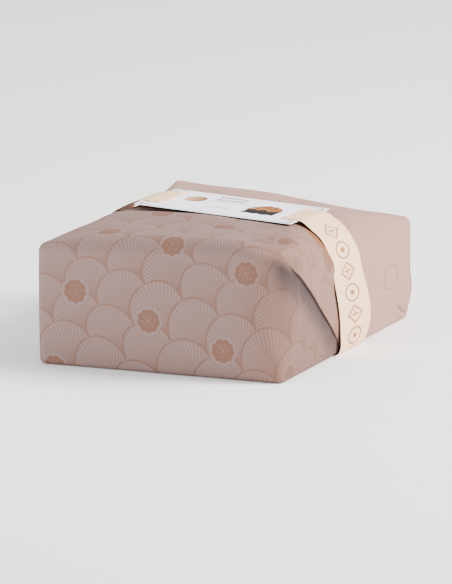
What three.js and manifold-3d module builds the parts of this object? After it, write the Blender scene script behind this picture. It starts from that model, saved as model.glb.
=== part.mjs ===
// A festive loaf cake in its shop wrapping: a boxed cake folded into one sheet of printed paper,
// a paper belly band round its middle, and a label card threaded on the band by two slits.
// Millimetres. +X is the pack's right, -Y its front, +Z up; the origin is under the middle of its base.
import * as THREE from "three";
import Module from "manifold-3d";
import { mergeVertices } from "three/addons/utils/BufferGeometryUtils.js";

// ---- the paper-wrapped pack -------------------------------------------------------------------
const PACK_WIDTH = 254; // across its sides, at the widest
const PACK_DEPTH = 346; // front to back, at the widest
const PACK_SHIFT = -1; // the wrapping bulges this much further to the left than to the right
const CORNER_RADIUS = { foot: 10, body: 8, soft: 42 }; // of the upright corners, soft at the front right one
const SOFTENING = 0.6; // share of the height up to which that corner softens
const FOOT_RADIUS = 5; // where the sides roll under to the base
const FOOT_INSET = 3; // all sides but the left stand this much further in at the base
const FOOT_REACH = 40; // height up to which they draw in
const CROWN_SAG = 6.5; // how far the top's middle lies under a patch stretched over its four ridges

// Height of each top ridge before it is rounded off, as [distance along the ridge, height].
const FRONT_RIDGE = [[-127, 115.8], [-62, 126.3], [40, 133.3], [127, 127.8]];
const BACK_RIDGE = [[-127, 122.8], [-30, 120.8], [60, 109.8], [127, 100.8]];
const LEFT_RIDGE = [[-173, 115.8], [-100, 125.8], [0, 131.8], [173, 122.8]];
const RIGHT_RIDGE = [[-173, 127.8], [-31, 125.3], [30, 122.8], [173, 100.8]];

// Rounding of each top ridge at its middle; at the top corners it tightens to CORNER_ROUNDING.
const CORNER_ROUNDING = { plain: 7, soft: 13 };
const RIDGE_ROUNDING = { front: 19, right: 52, back: 26, left: 44 };
const WAIST = { squeeze: 8, reach: 75, from: 25, to: 75 }; // the band draws the sides in above this height

// The folded flaps on the two long sides: the top's paper comes down over the tucked gussets. A front
// flap's edge runs down from start to end in a slight bow, and the gusset lies a step behind it.
const FRONT_FLAP = { start: -168, end: -22, bow: 5, step: 6.5, valley: 24, opening: 25 };
const BACK_FLAP = { start: 173, end: 104, top: 53 };
const SWELL = { out: 2.8, height: 30, half: 17, reach: 45 }; // the low folds at the back corners swell out
const FLAP_FOOT = 8; // height where a flap's edge ends, above the rounding at the base
const FLAP_TOP = 121; // height where a front flap's edge leaves the upright corner
const FLAP_LIP = 0.6; // height of the flap's cut edge
const FLAP_CLEAR = 5; // height kept between a flap's edge and the rounding of the top

// ---- the band and the card --------------------------------------------------------------------
const BAND_WIDTH = 66;
const BAND_MIDDLE = 2; // the band's middle stands this much behind the pack's middle
const BAND_THICKNESS = 0.5;
const CARD_WIDTH = 162;
const CARD_DEPTH = 106;
const CARD_THICKNESS = 0.6;
const CARD_CENTRE = [2.5, 1, 132.4];
const CARD_SLOPE = { x: -0.055, y: -0.028 }; // the card leans to the right and to the back
const SLIT_OFFSET = 62.5; // from the card's middle to the middle of each slit
const SLIT_WIDTH = 7;
const SLIT_ROOM = 1; // a slit is this much longer than the band at each end
const GAP = 0.3; // kept between pieces that touch
const CHANNEL = { rise: 0.9, slope: 14 }; // the base is drawn up this much over the band

// The band's path round the pack, seen from the front: [x, z] of its inner face, from the card's right.
const BAND_RIGHT_PATH = [[86, 128.1], [97, 121.3], [108, 111.8], [118, 94], [123, 70], [127.5, 45],
  [129, 24], [128, 8], [124.5, 1.8], [118, 0.5], [100, 0.5]];
const BAND_LEFT_PATH = [[-100, 0.5], [-122.5, 0.5], [-128.1, 2.2], [-129.6, 9], [-128.6, 40], [-127.4, 78],
  [-124, 101], [-115, 119.5], [-101, 129.8]];
const BAND_TWIST = 0.045; // on the right its back edge stands further out: rise over the band's width
const BAND_BELLY = { out: 3.2, height: 38, half: 30 }; // low on the right its back edge bellies out further

// ---- how finely the curves are stepped --------------------------------------------------------
const STATIONS_PER_SIDE = 20;
const STATIONS_PER_CORNER = 5;
const ROWS = { foot: 3, gusset: 7, flap: 7, ridge: 7, top: 8 };
const BAND_STEPS = 260;
const FOLD_STEPS = 12; // rounds of closing in on the place where a station meets the fold

const clamp01 = (t) => Math.min(1, Math.max(0, t));
const mix = (a, b, t) => a + (b - a) * t;
const smooth = (t) => clamp01(t) ** 2 * (3 - 2 * clamp01(t));
const hump = (t) => Math.exp(-t * t);

/** Height of a ridge at one place along it, blended smoothly between its listed points. */
function ridgeHeight(ridge, along) {
  const last = ridge.length - 1;
  if (along <= ridge[0][0]) return ridge[0][1];
  if (along >= ridge[last][0]) return ridge[last][1];
  const i = ridge.findIndex(([at]) => at > along) - 1;
  const slope = (k) => {
    const [low, high] = [Math.max(0, k - 1), Math.min(last, k + 1)];
    return (ridge[high][1] - ridge[low][1]) / (ridge[high][0] - ridge[low][0]);
  };
  const span = ridge[i + 1][0] - ridge[i][0];
  const t = (along - ridge[i][0]) / span;
  const [from, to] = [ridge[i][1], ridge[i + 1][1]];
  return from * (1 + 2 * t) * (1 - t) ** 2 + to * t * t * (3 - 2 * t)
    + span * (slope(i) * t * (1 - t) ** 2 - slope(i + 1) * t * t * (1 - t));
}

/** Height of the pack's top: a patch stretched over the four ridges, sagging a little in its middle. */
function topHeight(x, y) {
  const s = clamp01(x / PACK_WIDTH + 0.5);
  const t = clamp01(y / PACK_DEPTH + 0.5);
  const frontCorners = mix(FRONT_RIDGE[0][1], FRONT_RIDGE.at(-1)[1], s);
  const backCorners = mix(BACK_RIDGE[0][1], BACK_RIDGE.at(-1)[1], s);
  const lengthwise = mix(ridgeHeight(FRONT_RIDGE, x), ridgeHeight(BACK_RIDGE, x), t);
  const crosswise = mix(ridgeHeight(LEFT_RIDGE, y), ridgeHeight(RIGHT_RIDGE, y), s);
  const sag = CROWN_SAG * 16 * s * (1 - s) * t * (1 - t);
  return lengthwise + crosswise - mix(frontCorners, backCorners, t) - sag;
}

/** The stations round the pack: each knows its side, its normal and how far along its side it is. */
function outlineStations() {
  const stations = [];
  const sides = [["front", [0, -1]], ["right", [1, 0]], ["back", [0, 1]], ["left", [-1, 0]]];
  for (const [side, normal] of sides) {
    const soft = { start: side === "right", end: side === "front" };
    const cornerRounding = (isSoft) => (isSoft ? CORNER_ROUNDING.soft : CORNER_ROUNDING.plain);
    for (let i = 0; i < STATIONS_PER_SIDE; i += 1) {
      const along = (2 * i) / STATIONS_PER_SIDE - 1;
      const atCorner = cornerRounding(along < 0 ? soft.start : soft.end);
      const rounding = mix(RIDGE_ROUNDING[side], atCorner, along ** 2);
      stations.push({ side, facing: normal, normal, along, rounding, soft });
    }
    const start = Math.atan2(normal[1], normal[0]);
    for (let i = 0; i < STATIONS_PER_CORNER; i += 1) {
      const angle = start + (Math.PI / 2) * (i / STATIONS_PER_CORNER);
      const turned = [Math.cos(angle), Math.sin(angle)];
      const rounding = cornerRounding(soft.end);
      stations.push({ side: "corner", facing: normal, normal: turned, along: 1, rounding, soft });
    }
  }
  return stations;
}

/** A station's place on the pack's outline where the upright corners have the given radii. */
function outlinePlace({ facing: [fx, fy], normal, along, side, soft }, radii) {
  const [halfWidth, halfDepth] = [PACK_WIDTH / 2, PACK_DEPTH / 2];
  const [halfOut, halfAlong] = fx === 0 ? [halfDepth, halfWidth] : [halfWidth, halfDepth];
  const [first, last] = [soft.start, soft.end].map((isSoft) => (isSoft ? radii.soft : radii.plain));
  const arc = side === "corner" ? last : 0;
  const out = halfOut - arc;
  const sideways = mix(first - halfAlong, halfAlong - last, (along + 1) / 2);
  return [fx * out - fy * sideways + normal[0] * arc, fy * out + fx * sideways + normal[1] * arc];
}

/** Radii of the upright corners at a share of the pack's height. */
function cornerRadii(share) {
  const { foot, body, soft } = CORNER_RADIUS;
  const softening = smooth(share / SOFTENING);
  return { plain: mix(foot, body, smooth(2 * share)), soft: mix(foot, soft, softening) };
}

const isLongSide = (station) => station.side === "right" || station.side === "left";
const hasFlap = (station) => isLongSide(station) || (station.side === "corner" && station.soft.end);

/** Height of the paper's fold edge at a place along the depth: the flap lies above it, the gusset below. */
function foldHeight(station, y, highest) {
  if (!hasFlap(station)) return highest;
  const front = (FRONT_FLAP.end - y) / (FRONT_FLAP.end - FRONT_FLAP.start);
  const back = (y - BACK_FLAP.end) / (BACK_FLAP.start - BACK_FLAP.end);
  const bow = FRONT_FLAP.bow * 4 * front * (1 - front);
  if (front > 0) return Math.min(highest, mix(FLAP_FOOT, FLAP_TOP, front) + bow);
  if (back > 0) return Math.min(highest, mix(FLAP_FOOT, BACK_FLAP.top, back));
  return FLAP_FOOT;
}

/** Where a station meets the fold edge: its place along the depth, its height and the highest it can be. */
function foldPlace(station, ceiling) {
  const highest = ceiling - FLAP_CLEAR;
  let height = highest;
  let y = 0;
  for (let i = 0; i < FOLD_STEPS; i += 1) {
    y = outlinePlace(station, cornerRadii(height / ceiling))[1];
    height = foldHeight(station, y, highest);
  }
  return { y, height, highest };
}

/** How far the base is drawn up at a place along the pack's depth, so that the band lies flush with it. */
function channelRise(y) {
  const beside = Math.abs(y - BAND_MIDDLE) - BAND_WIDTH / 2;
  return CHANNEL.rise * clamp01(1 - beside / CHANNEL.slope);
}

/** How far the gusset is tucked in behind the flap, at a drop below the fold that station meets. */
function tuckDepth(station, { y, height, highest }, drop) {
  if (!hasFlap(station)) return 0;
  const along = clamp01((FRONT_FLAP.end - y) / (FRONT_FLAP.end - FRONT_FLAP.start));
  const opened = smooth((highest - height) / FRONT_FLAP.opening) ** 0.5;
  const deepest = FRONT_FLAP.step * smooth(along / 0.12) * opened;
  const hollow = 0.4 * FRONT_FLAP.step * smooth(along / 0.2) * (1 - along);
  return (deepest + hollow) * hump(drop / FRONT_FLAP.valley);
}

/** How far the layered folds swell out low on the back corners. */
function cornerSwell([x, y], z) {
  const fromCorner = Math.hypot(Math.abs(x) - PACK_WIDTH / 2, y - PACK_DEPTH / 2);
  return SWELL.out * smooth(1 - fromCorner / SWELL.reach) * hump((z - SWELL.height) / SWELL.half);
}

/** The points of one station, from the foot of the side up over the ridge to the top's middle. */
function stationPoints(station) {
  const points = [];
  const [topX, topY] = outlinePlace(station, cornerRadii(1));
  const [, footY] = outlinePlace(station, cornerRadii(0));
  const ceiling = topHeight(topX, topY) - station.rounding;
  const fold = foldPlace(station, ceiling);
  const waist = isLongSide(station) ? WAIST.squeeze * hump(topY / WAIST.reach) : 0;
  const footInset = FOOT_INSET * (1 + Math.min(0, station.normal[0]));
  const lean = (z) => footInset * (1 - clamp01(z / FOOT_REACH)) ** 2
    + waist * smooth((z - WAIST.from) / (WAIST.to - WAIST.from));
  const place = (inset, z) => {
    const at = outlinePlace(station, cornerRadii(z / ceiling));
    const shift = inset + lean(z) - cornerSwell(at, z);
    points.push([at[0] - station.normal[0] * shift, at[1] - station.normal[1] * shift, z]);
  };
  const rise = isLongSide(station) ? channelRise(footY) : 0;
  for (let i = 0; i < ROWS.foot; i += 1) {
    const angle = (Math.PI / 2) * (i / ROWS.foot);
    const drawnUp = rise * (1 - i / ROWS.foot);
    place(FOOT_RADIUS * (1 - Math.sin(angle)), FOOT_RADIUS * (1 - Math.cos(angle)) + drawnUp);
  }
  for (let i = 0; i <= ROWS.gusset; i += 1) {
    const z = mix(FOOT_RADIUS, fold.height, i / ROWS.gusset);
    place(clamp01((z - FOOT_RADIUS) / 10) * tuckDepth(station, fold, fold.height - z), z);
  }
  for (let i = 0; i <= ROWS.flap; i += 1) {
    place(0, mix(fold.height + FLAP_LIP, ceiling, i / ROWS.flap));
  }
  for (let i = 1; i <= ROWS.ridge; i += 1) {
    const angle = (Math.PI / 2) * (i / ROWS.ridge);
    const inset = lean(ceiling) + station.rounding * (1 - Math.cos(angle));
    const [x, y] = [topX - station.normal[0] * inset, topY - station.normal[1] * inset];
    points.push([x, y, topHeight(x, y) - station.rounding * (1 - Math.sin(angle))]);
  }
  const [edgeX, edgeY] = points.at(-1);
  for (let i = 1; i < ROWS.top; i += 1) {
    const [x, y] = [mix(edgeX, 0, i / ROWS.top), mix(edgeY, 0, i / ROWS.top)];
    points.push([x, y, topHeight(x, y)]);
  }
  return points;
}

/** The base's faces: strips across from side to side, and a fan at the front and at the back. */
function baseFaces(rows) {
  const ring = 4 * (STATIONS_PER_SIDE + STATIONS_PER_CORNER);
  const rightFront = STATIONS_PER_SIDE + STATIONS_PER_CORNER;
  const leftFront = ring - STATIONS_PER_CORNER;
  const foot = (station) => (station % ring) * rows;
  const faces = [];
  for (let i = 0; i < STATIONS_PER_SIDE; i += 1) {
    const [right, nextRight] = [foot(rightFront + i), foot(rightFront + i + 1)];
    const [left, nextLeft] = [foot(leftFront - i), foot(leftFront - i - 1)];
    faces.push(left, nextRight, right, left, nextLeft, nextRight);
  }
  const rightBack = rightFront + STATIONS_PER_SIDE;
  for (const corner of [leftFront, rightBack]) {
    for (let i = 1; i < STATIONS_PER_SIDE + 2 * STATIONS_PER_CORNER; i += 1) {
      faces.push(foot(corner), foot(corner + i + 1), foot(corner + i));
    }
  }
  return faces;
}

/** One closed surface from equal columns of points over the base, with a middle point on top. */
function capColumns(columns, top) {
  const rows = columns[0].length;
  const positions = [...columns.flat(2), ...top];
  const topIndex = columns.length * rows;
  const faces = baseFaces(rows);
  columns.forEach((_, i) => {
    const [here, next] = [i * rows, ((i + 1) % columns.length) * rows];
    for (let k = 0; k < rows - 1; k += 1) {
      faces.push(here + k, next + k, next + k + 1, here + k, next + k + 1, here + k + 1);
    }
    faces.push(here + rows - 1, next + rows - 1, topIndex);
  });
  const geometry = new THREE.BufferGeometry();
  geometry.setAttribute("position", new THREE.Float32BufferAttribute(positions, 3));
  geometry.setIndex(faces);
  return geometry;
}

/** The height of the card's underside at one place. */
function cardUnderside(x, y) {
  const [middleX, middleY, middleZ] = CARD_CENTRE;
  return middleZ + CARD_SLOPE.x * (x - middleX) + CARD_SLOPE.y * (y - middleY);
}

/** The band's inner face seen from the front, as one closed curve: over, under and over the card. */
function bandCurve() {
  const [middle] = CARD_CENTRE;
  const under = -(BAND_THICKNESS + GAP + 0.1);
  const over = CARD_THICKNESS + GAP + 0.1;
  const beside = SLIT_WIDTH / 2 + 1;
  const along = (x, offset) => [x, cardUnderside(x, BAND_MIDDLE) + offset];
  const [leftSlit, rightSlit] = [middle - SLIT_OFFSET, middle + SLIT_OFFSET];
  const points = [
    along(middle - CARD_WIDTH / 2, over),
    along(leftSlit - beside - 4, over),
    along(leftSlit - beside + 1, over),
    along(leftSlit + beside - 1, under),
    along(leftSlit + beside + 4, under),
    along(middle, under),
    along(rightSlit - beside - 4, under),
    along(rightSlit - beside + 1, under),
    along(rightSlit + beside - 1, over),
    along(rightSlit + beside + 4, over),
    ...BAND_RIGHT_PATH,
    ...BAND_LEFT_PATH,
  ];
  const vectors = points.map(([x, z]) => new THREE.Vector3(x, 0, z));
  return new THREE.CatmullRomCurve3(vectors, true, "centripetal");
}

/** The paper band: one closed strip round the pack, its section a thin flat rectangle. */
function bandGeometry() {
  const curve = bandCurve();
  const steps = BAND_STEPS;
  const across = [-BAND_WIDTH / 2, 0, BAND_WIDTH / 2];
  const positions = [];
  for (let i = 0; i < steps; i += 1) {
    const at = curve.getPointAt(i / steps);
    at.z = Math.max(at.z, BAND_THICKNESS);
    const heading = curve.getTangentAt(i / steps);
    const out = new THREE.Vector3(-heading.z, 0, heading.x);
    const rightSide = smooth((at.x - 90) / 30) * smooth(at.z / 25) * smooth((118 - at.z) / 30);
    const belly = rightSide * BAND_BELLY.out * hump((at.z - BAND_BELLY.height) / BAND_BELLY.half);
    const cardLean = smooth((100 - Math.abs(at.x)) / 15) * smooth((at.z - 60) / 30);
    const ring = [0, BAND_THICKNESS].map((lift) => across.map((offset) => [
      at.x + out.x * lift + rightSide * BAND_TWIST * offset + belly * clamp01(offset / BAND_WIDTH + 0.5),
      BAND_MIDDLE + offset,
      at.z + out.z * lift + cardLean * CARD_SLOPE.y * offset,
    ]));
    positions.push(...ring[0], ...ring[1].reverse());
  }
  const perRing = across.length * 2;
  const faces = [];
  for (let i = 0; i < steps; i += 1) {
    const [here, next] = [i * perRing, ((i + 1) % steps) * perRing];
    for (let k = 0; k < perRing; k += 1) {
      const n = (k + 1) % perRing;
      faces.push(here + k, next + n, next + k, here + k, here + n, next + n);
    }
  }
  const geometry = new THREE.BufferGeometry();
  geometry.setAttribute("position", new THREE.Float32BufferAttribute(positions.flat(), 3));
  geometry.setIndex(faces);
  return geometry;
}

/** A manifold solid from a closed geometry. */
function solidOf(wasm, source) {
  const geometry = source.clone();
  geometry.deleteAttribute("normal");
  geometry.deleteAttribute("uv");
  const merged = mergeVertices(geometry, 1e-4);
  return new wasm.Manifold(new wasm.Mesh({
    numProp: 3,
    vertProperties: new Float32Array(merged.attributes.position.array),
    triVerts: new Uint32Array(merged.index.array),
  }));
}

/** The geometry of a manifold solid. */
function geometryOf(solid) {
  const { vertProperties, triVerts } = solid.getMesh();
  const geometry = new THREE.BufferGeometry();
  geometry.setAttribute("position", new THREE.Float32BufferAttribute(vertProperties, 3));
  geometry.setIndex(new THREE.Uint32BufferAttribute(triVerts, 1));
  return geometry;
}

/** The label card: a thin sheet with two slits, leaning as it lies on the band. */
function cardGeometry(wasm) {
  const [middleX, middleY] = CARD_CENTRE;
  let card = solidOf(wasm, new THREE.BoxGeometry(CARD_WIDTH, CARD_DEPTH, CARD_THICKNESS));
  for (const side of [-1, 1]) {
    const slit = new THREE.BoxGeometry(SLIT_WIDTH, BAND_WIDTH + 2 * SLIT_ROOM, 2 * CARD_THICKNESS);
    slit.translate(side * SLIT_OFFSET, BAND_MIDDLE - middleY, 0);
    card = card.subtract(solidOf(wasm, slit));
  }
  const geometry = geometryOf(card);
  geometry.translate(middleX, middleY, CARD_THICKNESS / 2);
  const place = geometry.attributes.position;
  for (let i = 0; i < place.count; i += 1) {
    place.setZ(i, place.getZ(i) + cardUnderside(place.getX(i), place.getY(i)));
  }
  return geometry;
}

/** The wrapped pack, from its flat base to the middle of its top. */
function packGeometry() {
  return capColumns(outlineStations().map(stationPoints), [0, 0, topHeight(0, 0)]);
}

const wasm = await Module();
wasm.setup();

const finishes = {
  wrap: new THREE.MeshStandardMaterial({ color: 0xb5a39b, roughness: 0.62, metalness: 0 }),
  band: new THREE.MeshStandardMaterial({ color: 0xeadfd0, roughness: 0.7, metalness: 0 }),
  card: new THREE.MeshStandardMaterial({ color: 0xf0f0f4, roughness: 0.5, metalness: 0 }),
};

const loaf = new THREE.Group();
for (const [name, geometry, material] of [
  ["wrapped_pack", packGeometry(), finishes.wrap],
  ["belly_band", bandGeometry(), finishes.band],
  ["label_card", cardGeometry(wasm), finishes.card],
]) {
  const mesh = new THREE.Mesh(geometry, material);
  mesh.name = name;
  loaf.add(mesh);
}
loaf.getObjectByName("wrapped_pack").position.x = PACK_SHIFT;

export default loaf;
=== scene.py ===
"""The looks of a festive loaf cake in its shop wrapping.

A boxed cake lies folded into one sheet of printed paper. A cream paper band goes round its
middle, and a white label card is threaded on the band by two slits. Lengths are worked out in
millimetres and turned into metres when a mesh is made. +X is the pack's right, -Y its front.
"""

import logging
import math
from dataclasses import dataclass, field
from enum import Enum
from typing import Callable, Sequence

import bpy
import numpy as np
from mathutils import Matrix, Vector


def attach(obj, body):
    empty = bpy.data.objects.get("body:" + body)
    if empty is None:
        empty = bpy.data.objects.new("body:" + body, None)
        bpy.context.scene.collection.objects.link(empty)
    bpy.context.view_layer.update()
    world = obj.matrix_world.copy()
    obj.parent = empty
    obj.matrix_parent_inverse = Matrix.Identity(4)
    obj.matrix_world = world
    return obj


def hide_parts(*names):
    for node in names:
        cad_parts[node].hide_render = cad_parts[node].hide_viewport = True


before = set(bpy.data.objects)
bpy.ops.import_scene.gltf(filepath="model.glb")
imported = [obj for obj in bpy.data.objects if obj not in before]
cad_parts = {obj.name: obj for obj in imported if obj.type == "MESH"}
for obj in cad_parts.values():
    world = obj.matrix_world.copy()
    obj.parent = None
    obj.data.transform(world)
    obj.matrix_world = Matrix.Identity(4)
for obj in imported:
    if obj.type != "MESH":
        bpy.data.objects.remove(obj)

log = logging.getLogger("wrapped_cake")

MM = 0.001
BASE_CORE = 0.03  # share of the base's outline where its innermost row of points lies

Colour = tuple[float, float, float]
Point = tuple[float, float, float]
Pair = tuple[float, float]
Number = float | np.ndarray
Radii = tuple[Number, Number]
Paint = Colour | bpy.types.NodeSocket


# ---- plain arithmetic --------------------------------------------------------------------------
def clamp01(t: Number) -> Number:
    """Keeps a number, or each number of an array, between 0 and 1."""
    return np.clip(t, 0.0, 1.0)


def mix(a: Number, b: Number, t: Number) -> Number:
    """The value a share t of the way from a to b."""
    return a + (b - a) * t


def smooth(t: Number) -> Number:
    """An S-shaped rise from 0 to 1."""
    t = clamp01(t)
    return t * t * (3.0 - 2.0 * t)


def hump(t: Number) -> Number:
    """A bell curve, 1 at 0 and nearly nothing beyond 2."""
    return np.exp(-np.square(t))


# ---- meshes ------------------------------------------------------------------------------------
@dataclass
class MeshPlan:
    """The points and faces of one mesh, in millimetres, before Blender makes it."""

    points: np.ndarray
    faces: list[np.ndarray]
    uvs: list[np.ndarray] | None = None
    slots: list[np.ndarray] | None = None

    def build(self, name: str, materials: Sequence[bpy.types.Material]) -> bpy.types.Object:
        """Makes the object.

        Args:
            name: The object's name.
            materials: Its materials, in the order that the face slots count them.

        Returns:
            The new object, linked to the scene, smooth shaded and lying at the origin.
        """
        mesh = bpy.data.meshes.new(name)
        mesh.vertices.add(len(self.points))
        mesh.vertices.foreach_set("co", (self.points * MM).astype(np.float32).ravel())
        corners = np.concatenate([group.ravel() for group in self.faces])
        sizes = np.concatenate([np.full(len(group), group.shape[1]) for group in self.faces])
        mesh.loops.add(len(corners))
        mesh.loops.foreach_set("vertex_index", corners.astype(np.int32))
        mesh.polygons.add(len(sizes))
        starts = np.concatenate([[0], np.cumsum(sizes)[:-1]])
        mesh.polygons.foreach_set("loop_start", starts.astype(np.int32))
        mesh.polygons.foreach_set("use_smooth", np.ones(len(sizes), bool))
        if self.uvs is not None:
            layer = mesh.uv_layers.new(name="paper")
            flat = np.concatenate([group.reshape(-1, 2) for group in self.uvs])
            layer.data.foreach_set("uv", flat.astype(np.float32).ravel())
        if self.slots is not None:
            mesh.polygons.foreach_set("material_index", np.concatenate(self.slots).astype(np.int32))
        for material in materials:
            mesh.materials.append(material)
        mesh.update(calc_edges=True)
        made = bpy.data.objects.new(name, mesh)
        bpy.context.scene.collection.objects.link(made)
        return made


def sharpen(mesh: bpy.types.Mesh, is_sharp: Callable[[np.ndarray, np.ndarray], np.ndarray]) -> None:
    """Marks sharp edges.

    Args:
        mesh: The mesh.
        is_sharp: Says from the two vertex numbers of each edge whether it is sharp.
    """
    ends = np.zeros(len(mesh.edges) * 2, np.int32)
    mesh.edges.foreach_get("vertices", ends)
    ends = ends.reshape(-1, 2)
    layer = mesh.attributes.new("sharp_edge", "BOOLEAN", "EDGE")
    layer.data.foreach_set("value", is_sharp(ends[:, 0], ends[:, 1]))


# The sharp crease low at the back of each long side: the y and z of its two ends.
LOW_CREASE = ((134.0, 18.5), (167.0, 3.0))


# ---- the pack's form ---------------------------------------------------------------------------
class Side(Enum):
    """The pack's upright sides, in the order they follow each other, and where each faces."""

    FRONT = (0.0, -1.0)
    RIGHT = (1.0, 0.0)
    BACK = (0.0, 1.0)
    LEFT = (-1.0, 0.0)


@dataclass(frozen=True)
class Ridge:
    """The height of a soft ridge along its length, smoothly blended between listed points."""

    points: tuple[Pair, ...]

    def height(self, along: np.ndarray) -> np.ndarray:
        """Works out the ridge's height.

        Args:
            along: Distances along the ridge, from its middle.

        Returns:
            The height at each of them.
        """
        at = np.array([p[0] for p in self.points])
        value = np.array([p[1] for p in self.points])
        low = np.maximum(np.arange(len(at)) - 1, 0)
        high = np.minimum(np.arange(len(at)) + 1, len(at) - 1)
        slope = (value[high] - value[low]) / (at[high] - at[low])
        along = np.clip(along, at[0], at[-1])
        i = np.clip(np.searchsorted(at, along, side="right") - 1, 0, len(at) - 2)
        span = at[i + 1] - at[i]
        t = (along - at[i]) / span
        start = value[i] * (1 + 2 * t) * (1 - t) ** 2 + value[i + 1] * t * t * (3 - 2 * t)
        return start + span * (slope[i] * t * (1 - t) ** 2 - slope[i + 1] * t * t * (1 - t))


@dataclass(frozen=True)
class BandPlace:
    """Where the band lies along the pack's depth."""

    width: float = 66.0
    middle: float = 2.0

    def beside(self, y: np.ndarray) -> np.ndarray:
        """How far a place lies outside the band, negative under it."""
        return np.abs(y - self.middle) - self.width / 2


@dataclass(frozen=True)
class PackForm:
    """Sizes of the wrapped pack, in millimetres."""

    width: float = 254.0
    depth: float = 346.0
    shift: float = -1.0
    corner_foot: float = 10.0
    corner_body: float = 8.0
    corner_soft: float = 42.0
    softening: float = 0.6
    foot_radius: float = 5.0
    foot_inset: float = 3.0
    foot_reach: float = 40.0
    crown_sag: float = 6.5
    front_ridge: Ridge = Ridge(((-127, 115.8), (-62, 126.3), (40, 133.3), (127, 127.8)))
    back_ridge: Ridge = Ridge(((-127, 122.8), (-30, 120.8), (60, 109.8), (127, 100.8)))
    left_ridge: Ridge = Ridge(((-173, 115.8), (-100, 125.8), (0, 131.8), (173, 122.8)))
    right_ridge: Ridge = Ridge(((-173, 127.8), (-31, 125.3), (30, 122.8), (173, 100.8)))
    corner_rounding: float = 7.0
    soft_corner_rounding: float = 13.0
    ridge_rounding: tuple[float, float, float, float] = (19.0, 52.0, 26.0, 44.0)
    waist_squeeze: float = 6.5
    waist_reach: float = 75.0
    waist_heights: Pair = (25.0, 75.0)
    channel_rise: float = 0.9
    channel_slope: float = 14.0
    calm_by_band: float = 30.0
    calm_at_foot: float = 8.0
    band: BandPlace = BandPlace()

    def top_height(self, x: np.ndarray, y: np.ndarray) -> np.ndarray:
        """Height of the top: a patch stretched over the four ridges, sagging in its middle.

        Args:
            x: Places across the pack.
            y: Places along its depth.

        Returns:
            The height at each of them.
        """
        s = clamp01(x / self.width + 0.5)
        t = clamp01(y / self.depth + 0.5)
        half_w = self.width / 2
        front, back = self.front_ridge.height, self.back_ridge.height
        corners = mix(
            mix(front(np.array(-half_w)), front(np.array(half_w)), s),
            mix(back(np.array(-half_w)), back(np.array(half_w)), s),
            t,
        )
        lengthwise = mix(front(x), back(x), t)
        crosswise = mix(self.left_ridge.height(y), self.right_ridge.height(y), s)
        return lengthwise + crosswise - corners - self.crown_sag * 16 * s * (1 - s) * t * (1 - t)

    def channel(self, y: np.ndarray) -> np.ndarray:
        """How far the base is drawn up over the band, at places along the depth."""
        return self.channel_rise * clamp01(1 - self.band.beside(y) / self.channel_slope)

    def corner_radii(self, share: Number) -> Radii:
        """Radii at a share of the height: of the plain corners, and of the soft front right one."""
        plain = mix(self.corner_foot, self.corner_body, smooth(2 * share))
        return plain, mix(self.corner_foot, self.corner_soft, smooth(share / self.softening))


@dataclass(frozen=True)
class FlapForm:
    """Sizes of the folded flaps and tucked gussets on the two long sides, in millimetres."""

    front_start: float = -168.0
    front_end: float = -22.0
    bow: float = 5.0
    step: Pair = (2.0, 2.8)
    valley: Pair = (24.0, 62.0)
    opening: float = 18.0
    back_start: float = 173.0
    back_end: float = 104.0
    back_top: float = 53.0
    foot: float = 8.0
    foot_fade: float = 10.0
    top: float = 121.0
    tip: float = 0.12
    lip: float = 0.6
    closed_lip: float = 2.0
    open_tuck: float = 1.5
    sharp_tuck: float = 0.8
    clear: float = 5.0
    swell_out: float = 2.8
    swell_height: float = 30.0
    swell_half: float = 17.0
    swell_reach: float = 45.0

    def along_front(self, y: np.ndarray) -> np.ndarray:
        """Share of the way from the front flap's tip up to the front corner."""
        return (self.front_end - y) / (self.front_end - self.front_start)

    def fold_height(self, y: np.ndarray, has_flap: np.ndarray, highest: np.ndarray) -> np.ndarray:
        """Height of the paper's fold edge: the flap lies above it and the gusset below.

        Args:
            y: Places along the depth.
            has_flap: Whether the paper is folded there.
            highest: The highest that the fold may lie there.

        Returns:
            The height at each place, the highest where there is no flap.
        """
        front = self.along_front(y)
        back = (y - self.back_end) / (self.back_start - self.back_end)
        bow = self.bow * 4 * front * (1 - front)
        fold = np.full_like(y, self.foot)
        fold = np.where(front > 0, np.minimum(highest, mix(self.foot, self.top, front) + bow), fold)
        fold = np.where(back > 0, np.minimum(highest, mix(self.foot, self.back_top, back)), fold)
        return np.where(has_flap, fold, highest)


class Fold:
    """Where the stations meet the fold edge."""

    ROUNDS = 14

    def __init__(self, outline: "Outline", flaps: FlapForm, ceiling: np.ndarray) -> None:
        """Closes in on each station's fold height, because its place depends on the height.

        Args:
            outline: The stations.
            flaps: The flaps' sizes.
            ceiling: Height at each station where the rounding of the top begins.
        """
        self.flaps = flaps
        self.has_flap = outline.has_flap
        self.highest = ceiling - flaps.clear
        self.height = self.highest
        for _ in range(self.ROUNDS):
            self.y = outline.place(outline.form.corner_radii(self.height / ceiling))[:, 1]
            self.height = flaps.fold_height(self.y, outline.has_flap, self.highest)
        self.opened = smooth((self.highest - self.height) / flaps.opening)

    def tuck(self, drop: np.ndarray) -> np.ndarray:
        """Works out how far the gusset lies behind the flap.

        Args:
            drop: How far below the flap's edge, at each station.

        Returns:
            The distance at each station, 0 where there is no flap.
        """
        flaps = self.flaps
        along = clamp01(flaps.along_front(self.y))
        deepest = mix(*flaps.step, along) * smooth(along / flaps.tip) * np.sqrt(self.opened)
        behind = np.square(1 - clamp01(drop / mix(*flaps.valley, along)))
        return np.where(self.has_flap, deepest * behind, 0.0)


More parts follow.
